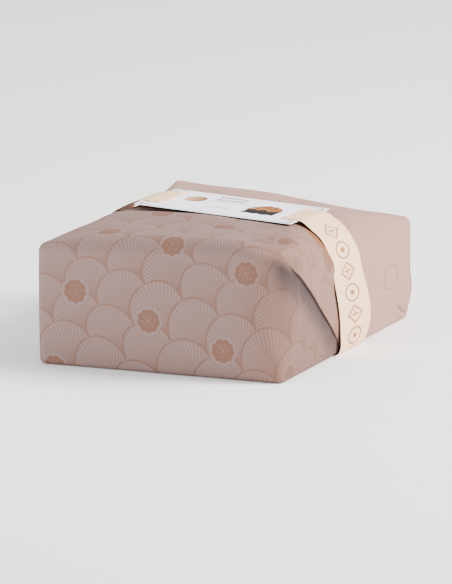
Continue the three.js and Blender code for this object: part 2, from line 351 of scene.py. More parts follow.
@dataclass(frozen=True)
class Crease:
    """A straight crease in the paper: a shallow valley, or a ridge where its depth is negative."""

    start: Point
    end: Point
    depth: float
    half_width: float
    fading: float = 0.55

    def offset(self, points: np.ndarray) -> np.ndarray:
        """Works out how far it moves points outwards.

        Args:
            points: The points.

        Returns:
            The distance for each point, negative in a valley.
        """
        a, b = np.array(self.start), np.array(self.end)
        along = b - a
        t = clamp01(((points - a) @ along) / (along @ along))
        away = np.linalg.norm(points - (a + t[..., None] * along), axis=-1)
        ends = 1 - self.fading * np.abs(2 * t - 1) ** 3
        return -self.depth * hump(away / self.half_width) * ends


@dataclass(frozen=True)
class Ripples:
    """Faint waves all over the paper, from a few plane waves in seeded directions."""

    seed: int = 7
    count: int = 14
    height: float = 0.16
    shortest: float = 38.0
    longest: float = 130.0

    def offset(self, points: np.ndarray) -> np.ndarray:
        """Works out how far they move points outwards.

        Args:
            points: The points.

        Returns:
            The distance for each point.
        """
        rng = np.random.default_rng(self.seed)
        total = np.zeros(points.shape[:-1])
        for _ in range(self.count):
            direction = rng.normal(size=3)
            direction /= np.linalg.norm(direction)
            length = rng.uniform(self.shortest, self.longest)
            phase = rng.uniform(0, 2 * math.pi)
            wave = np.sin(points @ direction * (2 * math.pi / length) + phase)
            total += self.height * wave * (length / self.longest) ** 0.5
        return total


@dataclass(frozen=True)
class PackFineness:
    """How finely the pack's surface is stepped."""

    across: int = 150
    lengthwise: int = 210
    corner: int = 12
    soft_corner: int = 44
    base: int = 22
    foot: int = 6
    gusset: int = 42
    flap: int = 52
    ridge: int = 34
    top: int = 40


class Outline:
    """The stations round the pack, each with its side, normal and place along its side."""

    def __init__(self, form: PackForm, fineness: PackFineness) -> None:
        """Sets out the stations, each side's first and then those of the corner after it.

        Args:
            form: The pack's sizes.
            fineness: How many stations a side and a corner have.
        """
        self.form = form
        facing, normal, along, rounding, corner, soft = [], [], [], [], [], []
        for side, round_off in zip(Side, form.ridge_rounding):
            ends_face = side in (Side.FRONT, Side.BACK)
            count = fineness.across if ends_face else fineness.lengthwise
            turns = fineness.soft_corner if side is Side.FRONT else fineness.corner
            places = np.linspace(-1, 1, count, endpoint=False)
            turn = np.linspace(0, math.pi / 2, turns, endpoint=False)
            start = math.atan2(side.value[1], side.value[0])
            softness = (side is Side.RIGHT, side is Side.FRONT)
            at_first, at_last = (self._corner_rounding(is_soft) for is_soft in softness)
            facing += [side.value] * (count + turns)
            normal += [side.value] * count
            normal += list(zip(np.cos(start + turn), np.sin(start + turn)))
            along += [*places, *np.ones(turns)]
            rounding += [*mix(round_off, np.where(places < 0, at_first, at_last), places**2)]
            rounding += [at_last] * turns
            corner += [False] * count + [True] * turns
            soft += [softness] * (count + turns)
        self.facing = np.array(facing)
        self.normal = np.array(normal)
        self.along = np.array(along)
        self.rounding = np.array(rounding)
        self.corner = np.array(corner)
        self.soft_first, self.soft_last = np.array(soft).T
        self.long_side = ~self.corner & (np.abs(self.facing[:, 0]) > 0.5)
        self.back = ~self.corner & (self.facing[:, 1] > 0.5)
        self.has_flap = self.long_side | (self.corner & self.soft_last)

    def _corner_rounding(self, is_soft: bool) -> float:
        """How far the top ridges are rounded off at a corner."""
        return self.form.soft_corner_rounding if is_soft else self.form.corner_rounding

    def _ends(self, radii: Radii) -> tuple[np.ndarray, np.ndarray, np.ndarray, np.ndarray]:
        """Looks up what each station's side is like.

        Args:
            radii: Radii of the plain corners and of the soft one.

        Returns:
            The radii at the side's first and last end, how far out the side lies, and its half
            length.
        """
        plain, soft = radii
        first = np.where(self.soft_first, soft, plain)
        last = np.where(self.soft_last, soft, plain)
        width, depth = self.form.width / 2, self.form.depth / 2
        faces_x = np.abs(self.facing[:, 0]) > 0.5
        return first, last, np.where(faces_x, width, depth), np.where(faces_x, depth, width)

    def place(self, radii: Radii) -> np.ndarray:
        """Places the stations on an outline.

        Args:
            radii: Radii of its plain corners and of its soft one.

        Returns:
            The stations' x and y.
        """
        first, last, half_out, half_along = self._ends(radii)
        arc = np.where(self.corner, last, 0.0)
        out = half_out - arc
        sideways = mix(first - half_along, half_along - last, (self.along + 1) / 2)
        fx, fy = self.facing.T
        x = fx * out - fy * sideways + self.normal[:, 0] * arc
        y = fy * out + fx * sideways + self.normal[:, 1] * arc
        return np.stack([x, y], -1)

    def run(self, radii: Radii) -> np.ndarray:
        """Measures how far round an outline the stations lie from the front's middle.

        Args:
            radii: Radii of its plain corners and of its soft one.

        Returns:
            The distance of each station, negative to the left of the front's middle.
        """
        first, last, _, half_along = self._ends(radii)
        at = self.place(radii)
        arc = np.where(self.corner, last, 0.0)
        turn = np.arctan2(
            self.facing[:, 0] * self.normal[:, 1] - self.facing[:, 1] * self.normal[:, 0],
            (self.facing * self.normal).sum(1),
        )
        fx, fy = self.facing.T
        sideways = np.where(self.corner, half_along - last, fx * at[:, 1] - fy * at[:, 0])
        width, depth = self.form.width / 2, self.form.depth / 2
        plain, soft = radii
        saved = 2 - math.pi / 2
        front = sideways + arc * turn
        right = front + width + depth - soft * saved
        back = front + 2 * (width + depth) - (soft + plain) * saved
        left = front - (width + depth - plain * saved)
        run = np.select([fy < -0.5, fx > 0.5, fy > 0.5], [front, right, back], left)
        around = 4 * (width + depth) - (soft + 3 * plain) * saved
        return np.where(run > around / 2, run - around, run)


class Region(Enum):
    """Which way the paper runs over a part of the pack."""

    BASE = 0
    WRAP = 1
    TOP = 2


@dataclass
class Rows:
    """The rows of points gathered while the pack's surface is laid out from base to top."""

    points: list[np.ndarray] = field(default_factory=list)
    outward: list[np.ndarray] = field(default_factory=list)
    paper: list[np.ndarray] = field(default_factory=list)
    region: list[Region] = field(default_factory=list)
    sharp: list[bool] = field(default_factory=list)

    def add(
        self,
        points: np.ndarray,
        outward: np.ndarray,
        paper: np.ndarray,
        region: Region,
        sharp: bool = False,
    ) -> None:
        """Adds one row.

        Args:
            points: Its points, one for each station.
            outward: The direction away from the pack at each point.
            paper: Each point's place on the flat paper.
            region: The run of paper that it belongs to.
            sharp: Whether its edge is sharp.
        """
        self.points.append(points)
        self.outward.append(outward)
        self.paper.append(paper)
        self.region.append(region)
        self.sharp.append(sharp)


class WrappedPack:
    """The pack: one folded sheet of paper round a box, finely stepped, with its folds."""

    NAME = "wrapped_pack_paper"

    def __init__(
        self,
        form: PackForm,
        flaps: FlapForm,
        fineness: PackFineness,
        ripples: Ripples,
        creases: Sequence[Crease],
    ) -> None:
        """Works out where the stations, the rounding of the top and the folds are.

        Args:
            form: The pack's sizes.
            flaps: The flaps' sizes.
            fineness: How finely the surface is stepped.
            ripples: The faint waves in the paper.
            creases: Its creases and swellings.
        """
        self.form = form
        self.flaps = flaps
        self.fineness = fineness
        self.ripples = ripples
        self.creases = creases
        self.outline = Outline(form, fineness)
        top = self.outline.place(form.corner_radii(1.0))
        self.top_place = top
        self.ceiling = form.top_height(top[:, 0], top[:, 1]) - self.outline.rounding
        self.fold = Fold(self.outline, flaps, self.ceiling)

    def _lean(self, z: np.ndarray) -> np.ndarray:
        """How far the sides stand inside the widest outline.

        Args:
            z: A height for each station.

        Returns:
            The distance at each station.
        """
        form, outline = self.form, self.outline
        foot = form.foot_inset * (1 + np.minimum(0.0, outline.normal[:, 0]))
        low, high = form.waist_heights
        waist = form.waist_squeeze * hump(self.top_place[:, 1] / form.waist_reach)
        waist = np.where(outline.long_side, waist, 0.0) * smooth((z - low) / (high - low))
        return foot * (1 - clamp01(z / form.foot_reach)) ** 2 + waist

    def _swell(self, at: np.ndarray, z: np.ndarray) -> np.ndarray:
        """How far the layered folds swell out low on the back corners.

        Args:
            at: A place on the outline for each station.
            z: A height for each station.

        Returns:
            The distance at each station.
        """
        form, flaps = self.form, self.flaps
        away = np.hypot(np.abs(at[:, 0]) - form.width / 2, at[:, 1] - form.depth / 2)
        height = hump((z - flaps.swell_height) / flaps.swell_half)
        return flaps.swell_out * smooth(1 - away / flaps.swell_reach) * height

    def _side_row(self, inset: np.ndarray, z: np.ndarray) -> np.ndarray:
        """Places one row of points on the upright sides.

        Args:
            inset: How far each point lies behind the side's own surface.
            z: A height for each station.

        Returns:
            The points.
        """
        at = self.outline.place(self.form.corner_radii(z / self.ceiling))
        shift = inset + self._lean(z) - self._swell(at, z)
        flat = at - self.outline.normal * shift[:, None]
        return np.column_stack([flat, z])

    def _front_run(self) -> tuple[np.ndarray, np.ndarray, np.ndarray]:
        """Measures the paper along the front ridge.

        Returns:
            For each station there: its x, the run of paper from the foot up to the edge of the
            top, and that edge's y.
        """
        outline = self.outline
        front = (outline.facing[:, 1] < -0.5) & ~outline.corner
        inset = self._lean(self.ceiling) + outline.rounding
        x = self.top_place[front, 0]
        run = self.ceiling[front] + outline.rounding[front] * math.pi / 2
        return x, run, (self.top_place[:, 1] + inset)[front]

    def _top_run(self, x: np.ndarray, y: np.ndarray) -> np.ndarray:
        """The run of paper from the front's foot up and over to a place on the top."""
        at, run, edge = self._front_run()
        return np.interp(x, at, run) + y - np.interp(x, at, edge)

    def _wrapped(self, z: np.ndarray) -> np.ndarray:
        """How far round the pack each station lies at a height."""
        return self.outline.run(self.form.corner_radii(np.minimum(z / self.ceiling, 1.0)))

    def _paper_over_ridge(self, z: np.ndarray, edge: np.ndarray, drop: np.ndarray) -> np.ndarray:
        """Places on the paper for the ridge and the flaps below it.

        The paper comes down over the ridge from the top. Where no flap is open it flows on into
        the sides below.

        Args:
            z: Heights of the row's points.
            edge: The points where the top begins, one for each station.
            drop: The run of paper down from that edge.

        Returns:
            The paper's two coordinates for each point.
        """
        outline = self.outline
        run = self._top_run(edge[:, 0], edge[:, 1])
        from_top = np.column_stack([edge[:, 0], run]) + outline.normal * drop[:, None]
        bend = outline.rounding * math.pi / 2
        from_side = np.column_stack([self._wrapped(z), self.ceiling + bend - drop])
        over_edge = outline.back | (outline.long_side & ~outline.soft_first)
        folded = np.where(over_edge, 1.0, self.fold.opened)
        share = np.maximum(folded, clamp01(1 - drop / bend))
        return mix(from_side, from_top, share[:, None])

    def _lay_base(self, rows: Rows, ring: np.ndarray) -> None:
        """Adds the rows of the base, from near its middle out to the foot.

        Args:
            rows: The rows so far.
            ring: The base's outline, one point for each station.
        """
        down = np.tile([0.0, 0.0, -1.0], (len(ring), 1))
        form = self.form
        for share in np.linspace(BASE_CORE, 1.0, self.fineness.base, endpoint=False):
            flat = ring[:, :2] * share
            paper = np.column_stack([flat[:, 0], -(flat[:, 1] + form.depth / 2)])
            rows.add(np.column_stack([flat, form.channel(flat[:, 1])]), down, paper, Region.BASE)

    def _lay_sides(self, rows: Rows, edge: np.ndarray) -> None:
        """Adds the rows of the foot, the gussets, the fold edge and the flaps.

        Args:
            rows: The rows so far.
            edge: The points where the top begins, one for each station.
        """
        form, flaps, fine, outline = self.form, self.flaps, self.fineness, self.outline
        ones = np.ones(len(self.ceiling))
        level = np.column_stack([outline.normal, 0 * ones])
        rise = form.channel(outline.place(form.corner_radii(0.0))[:, 1])
        rise = np.where(outline.long_side, rise, 0.0)
        fold = self.fold.height

        def over(z: np.ndarray) -> np.ndarray:
            """Places on the paper that comes down over the ridge from the top."""
            drop = outline.rounding * math.pi / 2 + self.ceiling - z
            return self._paper_over_ridge(z, edge, drop)

        def wrap(z: np.ndarray) -> np.ndarray:
            """Places on the paper that goes round the sides, or over the ridge at the back."""
            return np.where(outline.back[:, None], over(z), np.column_stack([self._wrapped(z), z]))

        def tucked(z: np.ndarray) -> np.ndarray:
            """How far the gusset is tucked in, less and less towards the foot."""
            fade = clamp01((z - form.foot_radius) / flaps.foot_fade)
            return fade * self.fold.tuck(fold - z)

        for share in np.linspace(0, 1, fine.foot, endpoint=False):
            angle = math.pi / 2 * share
            z = form.foot_radius * (1 - math.cos(angle)) + rise * (1 - share)
            points = self._side_row(form.foot_radius * (1 - math.sin(angle)) * ones, z)
            down = np.array([0, 0, -1.0])
            rows.add(points, mix(down, level, math.sin(angle)), wrap(z), Region.WRAP)
        for share in np.linspace(0, 1, fine.gusset):
            z = mix(form.foot_radius, fold, share)
            rows.add(self._side_row(tucked(z), z), level, wrap(z), Region.WRAP, sharp=share == 1)
        tuck = tucked(fold)
        open_share = clamp01(tuck / flaps.open_tuck)
        lip, closed = flaps.lip, flaps.closed_lip
        # Each row of the flap's cut edge: how far in it lies, and its rise where closed and open.
        ledge = [
            (0.5 * tuck, 0.25 * closed, -0.25 * lip),
            (0.7 * lip * open_share, 0.5 * closed, -0.25 * lip),
            (0.15 * lip * open_share, 0.75 * closed, 0.3 * lip),
        ]
        for inset, closed_rise, open_rise in ledge:
            z = fold + mix(closed_rise, open_rise, open_share)
            rows.add(self._side_row(np.minimum(inset, tuck), z), level, over(z), Region.TOP)
        for share in np.linspace(0, 1, fine.flap):
            z = mix(fold + mix(closed, lip, open_share), self.ceiling, share)
            rows.add(self._side_row(0 * ones, z), level, over(z), Region.TOP)

    def _lay_top(self, rows: Rows) -> None:
        """Adds the rows that go over the ridge and in to near the top's middle.

        Args:
            rows: The rows so far.
        """
        form, fine, outline = self.form, self.fineness, self.outline
        lean = self._lean(self.ceiling)
        up = np.array([0, 0, 1.0])
        level = np.column_stack([outline.normal, np.zeros(len(lean))])
        edge = self._ridge_row(lean, 1.0)
        for share in np.linspace(0, 1, fine.ridge + 1)[1:]:
            points = self._ridge_row(lean, share)
            drop = outline.rounding * math.pi / 2 * (1 - share)
            angle = math.pi / 2 * share
            outward = level * math.cos(angle) + up * math.sin(angle)
            rows.add(points, outward, self._paper_over_ridge(self.ceiling, edge, drop), Region.TOP)
        for share in np.linspace(0, 1, fine.top, endpoint=False)[1:]:
            flat = edge[:, :2] * (1 - share)
            z = form.top_height(flat[:, 0], flat[:, 1])
            paper = np.column_stack([flat[:, 0], self._top_run(flat[:, 0], flat[:, 1])])
            rows.add(np.column_stack([flat, z]), np.tile(up, (len(z), 1)), paper, Region.TOP)

    def _ridge_row(self, lean: np.ndarray, share: float) -> np.ndarray:
        """Places one row of points on the rounded ridge.

        Args:
            lean: How far in the sides stand at the ridge.
            share: Where on the rounding the row lies, from the side at 0 to the top at 1.

        Returns:
            The points.
        """
        angle = math.pi / 2 * share
        inset = lean + self.outline.rounding * (1 - math.cos(angle))
        flat = self.top_place - self.outline.normal * inset[:, None]
        z = self.form.top_height(flat[:, 0], flat[:, 1])
        return np.column_stack([flat, z - self.outline.rounding * (1 - math.sin(angle))])

    def _relief(self, points: np.ndarray, outward: np.ndarray) -> np.ndarray:
        """Moves points by the ripples and creases, less and less towards the band and the foot.

        Args:
            points: The points.
            outward: The direction away from the pack at each point.

        Returns:
            The moved points.
        """
        form = self.form
        offset = self.ripples.offset(points)
        for crease in self.creases:
            offset = offset + crease.offset(points)
        free = smooth(form.band.beside(points[..., 1]) / form.calm_by_band)
        free = free * smooth((points[..., 2] + 1) / form.calm_at_foot)
        return points + outward * (offset * free)[..., None]

    def plan(self) -> tuple[MeshPlan, np.ndarray]:
        """Lays out the whole surface.

        Returns:
            The mesh plan, and for each row whether its edge is sharp.
        """
        rows = Rows()
        edge = self._ridge_row(self._lean(self.ceiling), 1.0)
        start = self._side_row(np.full(len(self.ceiling), self.form.foot_radius), 0 * self.ceiling)
        self._lay_base(rows, start)
        self._lay_sides(rows, edge)
        self._lay_top(rows)
        grid = self._relief(np.stack(rows.points, 1), np.stack(rows.outward, 1))
        middles = np.stack([grid[:, 0].mean(0), grid[:, -1].mean(0)])
        points = np.concatenate([grid.reshape(-1, 3), middles])
        points[:, 0] += self.form.shift
        faces, corners = self._faces(*grid.shape[:2]), self._paper_corners(rows)
        return MeshPlan(points, faces, corners), np.array(rows.sharp)

    @staticmethod
    def _faces(stations: int, count: int) -> list[np.ndarray]:
        """Joins the rows up.

        Args:
            stations: How many stations there are.
            count: How many rows there are.

        Returns:
            The faces between the rows, those round the base's middle and those round the top's.
        """
        here = np.arange(stations)[:, None] * count + np.arange(count - 1)
        following = (np.arange(stations)[:, None] + 1) % stations * count + np.arange(count - 1)
        quads = np.stack([here, following, following + 1, here + 1], -1)
        ring = np.arange(stations) * count
        turned = np.roll(ring, -1)
        base_middle, top_middle = stations * count, stations * count + 1
        low = np.stack([np.full(stations, base_middle), turned, ring], -1)
        high = np.stack([ring + count - 1, turned + count - 1, np.full(stations, top_middle)], -1)
        return [quads.reshape(-1, 4), low, high]

    def _paper_corners(self, rows: Rows) -> list[np.ndarray]:
        """Places every face's corners on the flat paper.

        A face that starts a new run of paper has its corners on that run alone, so that the print
        breaks off there and isn't drawn out.

        Args:
            rows: The surface's rows.

        Returns:
            The corners' places, in the order of the faces.
        """
        paper = np.stack(rows.paper, 1)
        after = np.roll(paper, -1, axis=0)
        uv = np.stack([paper[:, :-1], after[:, :-1], after[:, 1:], paper[:, 1:]], -2)
        for k, (below, above) in enumerate(zip(rows.region, rows.region[1:])):
            if below != above:
                uv[:, k, 0], uv[:, k, 1] = uv[:, k, 3], uv[:, k, 2]
        new_run = self.outline.back != np.roll(self.outline.back, -1)
        uv[new_run, :, 0], uv[new_run, :, 3] = uv[new_run, :, 1], uv[new_run, :, 2]
        base_middle = [0, -self.form.depth / 2]
        top_middle = [0, self._top_run(np.array(0.0), np.array(0.0))]
        low = np.stack([0 * paper[:, 0] + base_middle, after[:, 0], paper[:, 0]], -2)
        high = np.stack([paper[:, -1], after[:, -1], 0 * paper[:, -1] + top_middle], -2)
        return [uv.reshape(-1, 4, 2), low, high]

    def build(self, material: bpy.types.Material) -> bpy.types.Object:
        """Makes the pack's paper, in place of the plain solid.

        Args:
            material: The wrapping paper's material.

        Returns:
            The new object.
        """
        plan, sharp = self.plan()
        made = plan.build(self.NAME, [material])
        count = len(sharp)
        on_grid = len(plan.points) - 2
        is_open = self.fold.tuck(np.zeros(len(self.ceiling))) > self.flaps.sharp_tuck

        def is_sharp(a: np.ndarray, b: np.ndarray) -> np.ndarray:
            """Whether edges lie along the flap's cut edge where the fold is open.

            Args:
                a: Each edge's first vertex.
                b: Its second vertex.

            Returns:
                True for each sharp edge.
            """
            along_row = (a % count == b % count) & (a < on_grid) & (b < on_grid)
            first, second = np.minimum(a, on_grid - 1), np.minimum(b, on_grid - 1)
            both_open = is_open[first // count] & is_open[second // count]
            return along_row & sharp[first % count] & both_open

        sharpen(made.data, is_sharp)
        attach(made, "root")
        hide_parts("wrapped_pack")
        log.info("%s: %d points", made.name, len(plan.points))
        return made


# ---- the band and the card ---------------------------------------------------------------------
@dataclass(frozen=True)
class CardForm:
    """Sizes of the label card, in millimetres."""

    width: float = 162.0
    depth: float = 106.0
    thickness: float = 0.5
    middle: Point = (2.5, 1.0, 132.4)
    slope: Pair = (-0.055, -0.028)
    slit_offset: float = 62.5
    slit_width: float = 2.6
    slit_room: float = 0.8

    def underside(self, x: np.ndarray, y: np.ndarray) -> np.ndarray:
        """Height of the card's underside at a place."""
        middle_x, middle_y, middle_z = self.middle
        return middle_z + self.slope[0] * (x - middle_x) + self.slope[1] * (y - middle_y)


@dataclass(frozen=True)
class BandForm:
    """Sizes and path of the paper band, in millimetres."""

    thickness: float = 0.4
    place: BandPlace = BandPlace()
    gap: float = 0.3
    card_room: float = 0.2
    slit_room: float = 0.6
    slit_rise: float = 4.0
    slit_ramp: float = 0.4
    twist: float = 0.045
    belly_out: float = 3.2
    belly_height: float = 38.0
    belly_half: float = 30.0
    right_side: float = 90.0
    right_fade: float = 30.0
    right_foot: float = 25.0
    right_top: float = 118.0
    lean_reach: float = 100.0
    lean_fade: float = 15.0
    lean_foot: float = 60.0
    lean_rise: float = 30.0
    steps: int = 900
    across: int = 14
    right_path: tuple[Pair, ...] = (
        (86, 128.1), (97, 121.3), (108, 111.8), (118, 94), (123, 70), (127.5, 45),
        (129, 24), (128, 8), (124.5, 1.8), (118, 0.5), (100, 0.5),
    )  # fmt: skip
    left_path: tuple[Pair, ...] = (
        (-100, 0.5), (-122.5, 0.5), (-128.1, 2.2), (-129.6, 9), (-128.6, 40), (-127.4, 78),
        (-124, 101), (-115, 119.5), (-101, 129.8),
    )  # fmt: skip


class ClosedCurve:
    """A smooth closed curve through points in a plane, evenly stepped by its length."""

    def __init__(self, points: Sequence[Pair], samples: int = 48) -> None:
        """Draws the curve finely, and measures it.

        Args:
            points: The points that it goes through, in order.
            samples: How many short lines stand for each stretch between two points.
        """
        knots = np.array(points, float)
        pieces = []
        for i in range(len(knots)):
            quad = [knots[(i + k) % len(knots)] for k in (-1, 0, 1, 2)]
            pieces.append(self._piece(quad, samples))
        self.path = np.concatenate([*pieces, knots[:1]])
        step = np.linalg.norm(np.diff(self.path, axis=0), axis=1)
        self.run = np.concatenate([[0], np.cumsum(step)])

    @staticmethod
    def _piece(quad: Sequence[np.ndarray], samples: int) -> np.ndarray:
        """Draws the stretch between the middle two of four points.

        The points count as far apart as the root of their distance, so that the curve has no
        loops where they lie close together.

        Args:
            quad: The four points.
            samples: How many points to draw.

        Returns:
            The points from the second of the four up to just before the third.
        """
        gaps = [math.sqrt(np.linalg.norm(b - a)) for a, b in zip(quad, quad[1:])]
        a, b, c, d = quad
        leave = (b - a) / gaps[0] - (c - a) / (gaps[0] + gaps[1]) + (c - b) / gaps[1]
        arrive = (c - b) / gaps[1] - (d - b) / (gaps[1] + gaps[2]) + (d - c) / gaps[2]
        leave, arrive = leave * gaps[1], arrive * gaps[1]
        t = np.linspace(0, 1, samples, endpoint=False)[:, None]
        cubic = (2 * b - 2 * c + leave + arrive) * t**3
        square = (-3 * b + 3 * c - 2 * leave - arrive) * t**2
        return cubic + square + leave * t + b

    def even(self, steps: int) -> tuple[np.ndarray, np.ndarray, np.ndarray]:
        """Steps along the curve.

        Args:
            steps: How many steps.

        Returns:
            Evenly spaced points, their headings, and their distances along the curve.
        """
        at = np.linspace(0, self.run[-1], steps, endpoint=False)
        points = np.stack([np.interp(at, self.run, self.path[:, k]) for k in (0, 1)], -1)
        heading = np.roll(points, -1, axis=0) - np.roll(points, 1, axis=0)
        return points, heading / np.linalg.norm(heading, axis=1, keepdims=True), at


class BellyBand:
    """The paper band round the pack, over the card's ends and under its middle."""

    NAME = "belly_band_paper"

    def __init__(self, form: BandForm, card: CardForm) -> None:
        """Keeps the sizes.

        Args:
            form: The band's sizes.
            card: The sizes of the card that it goes through.
        """
        self.form = form
        self.card = card

    def _curve(self) -> ClosedCurve:
        """Finds the path of the band's inner face, seen from the front.

        Returns:
            The path: over the card's left end, under its middle, over its right end, and round.
        """
        form, card = self.form, self.card
        middle = card.middle[0]
        under = -(form.thickness + form.gap + form.card_room)
        over = card.thickness + form.gap
        beside = card.slit_width / 2 + form.slit_room
        near, far = beside - form.slit_ramp, beside + form.slit_rise

        def along(x: float, offset: float) -> Pair:
            """A point of the path, at an offset from the card's underside."""
            return x, float(card.underside(x, form.place.middle)) + offset

        left, right = middle - card.slit_offset, middle + card.slit_offset
        points = [
            along(middle - card.width / 2, over),
            *(along(left - offset, over) for offset in (far, near)),
            *(along(left + offset, under) for offset in (near, far)),
            along(middle, under),
            *(along(right - offset, under) for offset in (far, near)),
            *(along(right + offset, over) for offset in (near, far)),
            *form.right_path,
            *form.left_path,
        ]
        return ClosedCurve(points)

    def plan(self) -> MeshPlan:
        """Lays out the strip: an outer and an inner face, joined along both edges.

        Returns:
            The mesh plan, its inner faces in the second material.
        """
        form = self.form
        points, heading, run = self._curve().even(form.steps)
        half = form.place.width / 2
        offsets = np.linspace(-half, half, form.across + 1)
        grid = self._layers(points, heading, offsets)
        steps, count = grid.shape[:2]
        here = np.arange(steps)[:, None] * count
        following = (np.arange(steps)[:, None] + 1) % steps * count
        k = np.arange(count)[None, :]
        turned = (k + 1) % count
        quads = np.stack([here + k, here + turned, following + turned, following + k], -1)
        across = np.concatenate([offsets[::-1], offsets])
        ahead = np.concatenate([run[1:], [run[-1] + run[1]]])
        places = [(run, k), (run, turned), (ahead, turned), (ahead, k)]
        uv = np.zeros(quads.shape + (2,))
        for corner, (station, column) in enumerate(places):
            uv[:, :, corner, 0] = station[:, None]
            uv[:, :, corner, 1] = across[column]
        slots = np.tile(np.where(np.arange(count) < form.across, 1, 0), steps)
        faces, corners = [quads.reshape(-1, 4)], [uv.reshape(-1, 4, 2)]
        return MeshPlan(grid.reshape(-1, 3), faces, corners, [slots])

    def _layers(self, points: np.ndarray, heading: np.ndarray, offsets: np.ndarray) -> np.ndarray:
        """Places the strip's points, leaning with the card on top and bellied out on the right.

        Args:
            points: Points of its inner face, seen from the front.
            heading: The path's heading at each of them.
            offsets: Places across the band.

        Returns:
            For each step along the band, the inner face's points and then the outer face's.
        """
        form = self.form
        x, z = points[:, 0], np.maximum(points[:, 1], form.thickness)
        out = np.stack([-heading[:, 1], heading[:, 0]], -1)
        right_side = smooth((x - form.right_side) / form.right_fade) * smooth(z / form.right_foot)
        right_side = right_side * smooth((form.right_top - z) / form.right_fade)
        belly = right_side * form.belly_out * hump((z - form.belly_height) / form.belly_half)
        lean = smooth((form.lean_reach - np.abs(x)) / form.lean_fade)
        lean = lean * smooth((z - form.lean_foot) / form.lean_rise) * self.card.slope[1]
        layers = []
        for lift, across in ((0.0, offsets[::-1]), (form.thickness, offsets)):
            for offset in across:
                share = clamp01(offset / form.place.width + 0.5)
                layer_x = x + out[:, 0] * lift + right_side * form.twist * offset + belly * share
                layer_z = z + out[:, 1] * lift + lean * offset
                layers.append(np.stack([layer_x, 0 * x + form.place.middle + offset, layer_z], -1))
        return np.stack(layers, 1)

    def build(self, outer: bpy.types.Material, inner: bpy.types.Material) -> bpy.types.Object:
        """Makes the band, in place of the plain solid.

        Args:
            outer: The material of its outer face.
            inner: The material of its lining.

        Returns:
            The new object.
        """
        made = self.plan().build(self.NAME, [outer, inner])
        count = 2 * (self.form.across + 1)
        edges = np.isin(np.arange(count), [0, self.form.across, self.form.across + 1, count - 1])
        sharpen(made.data, lambda a, b: (a % count == b % count) & edges[a % count])
        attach(made, "root")
        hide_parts("belly_band")
        log.info("%s: %d points", made.name, len(made.data.vertices))
        return made


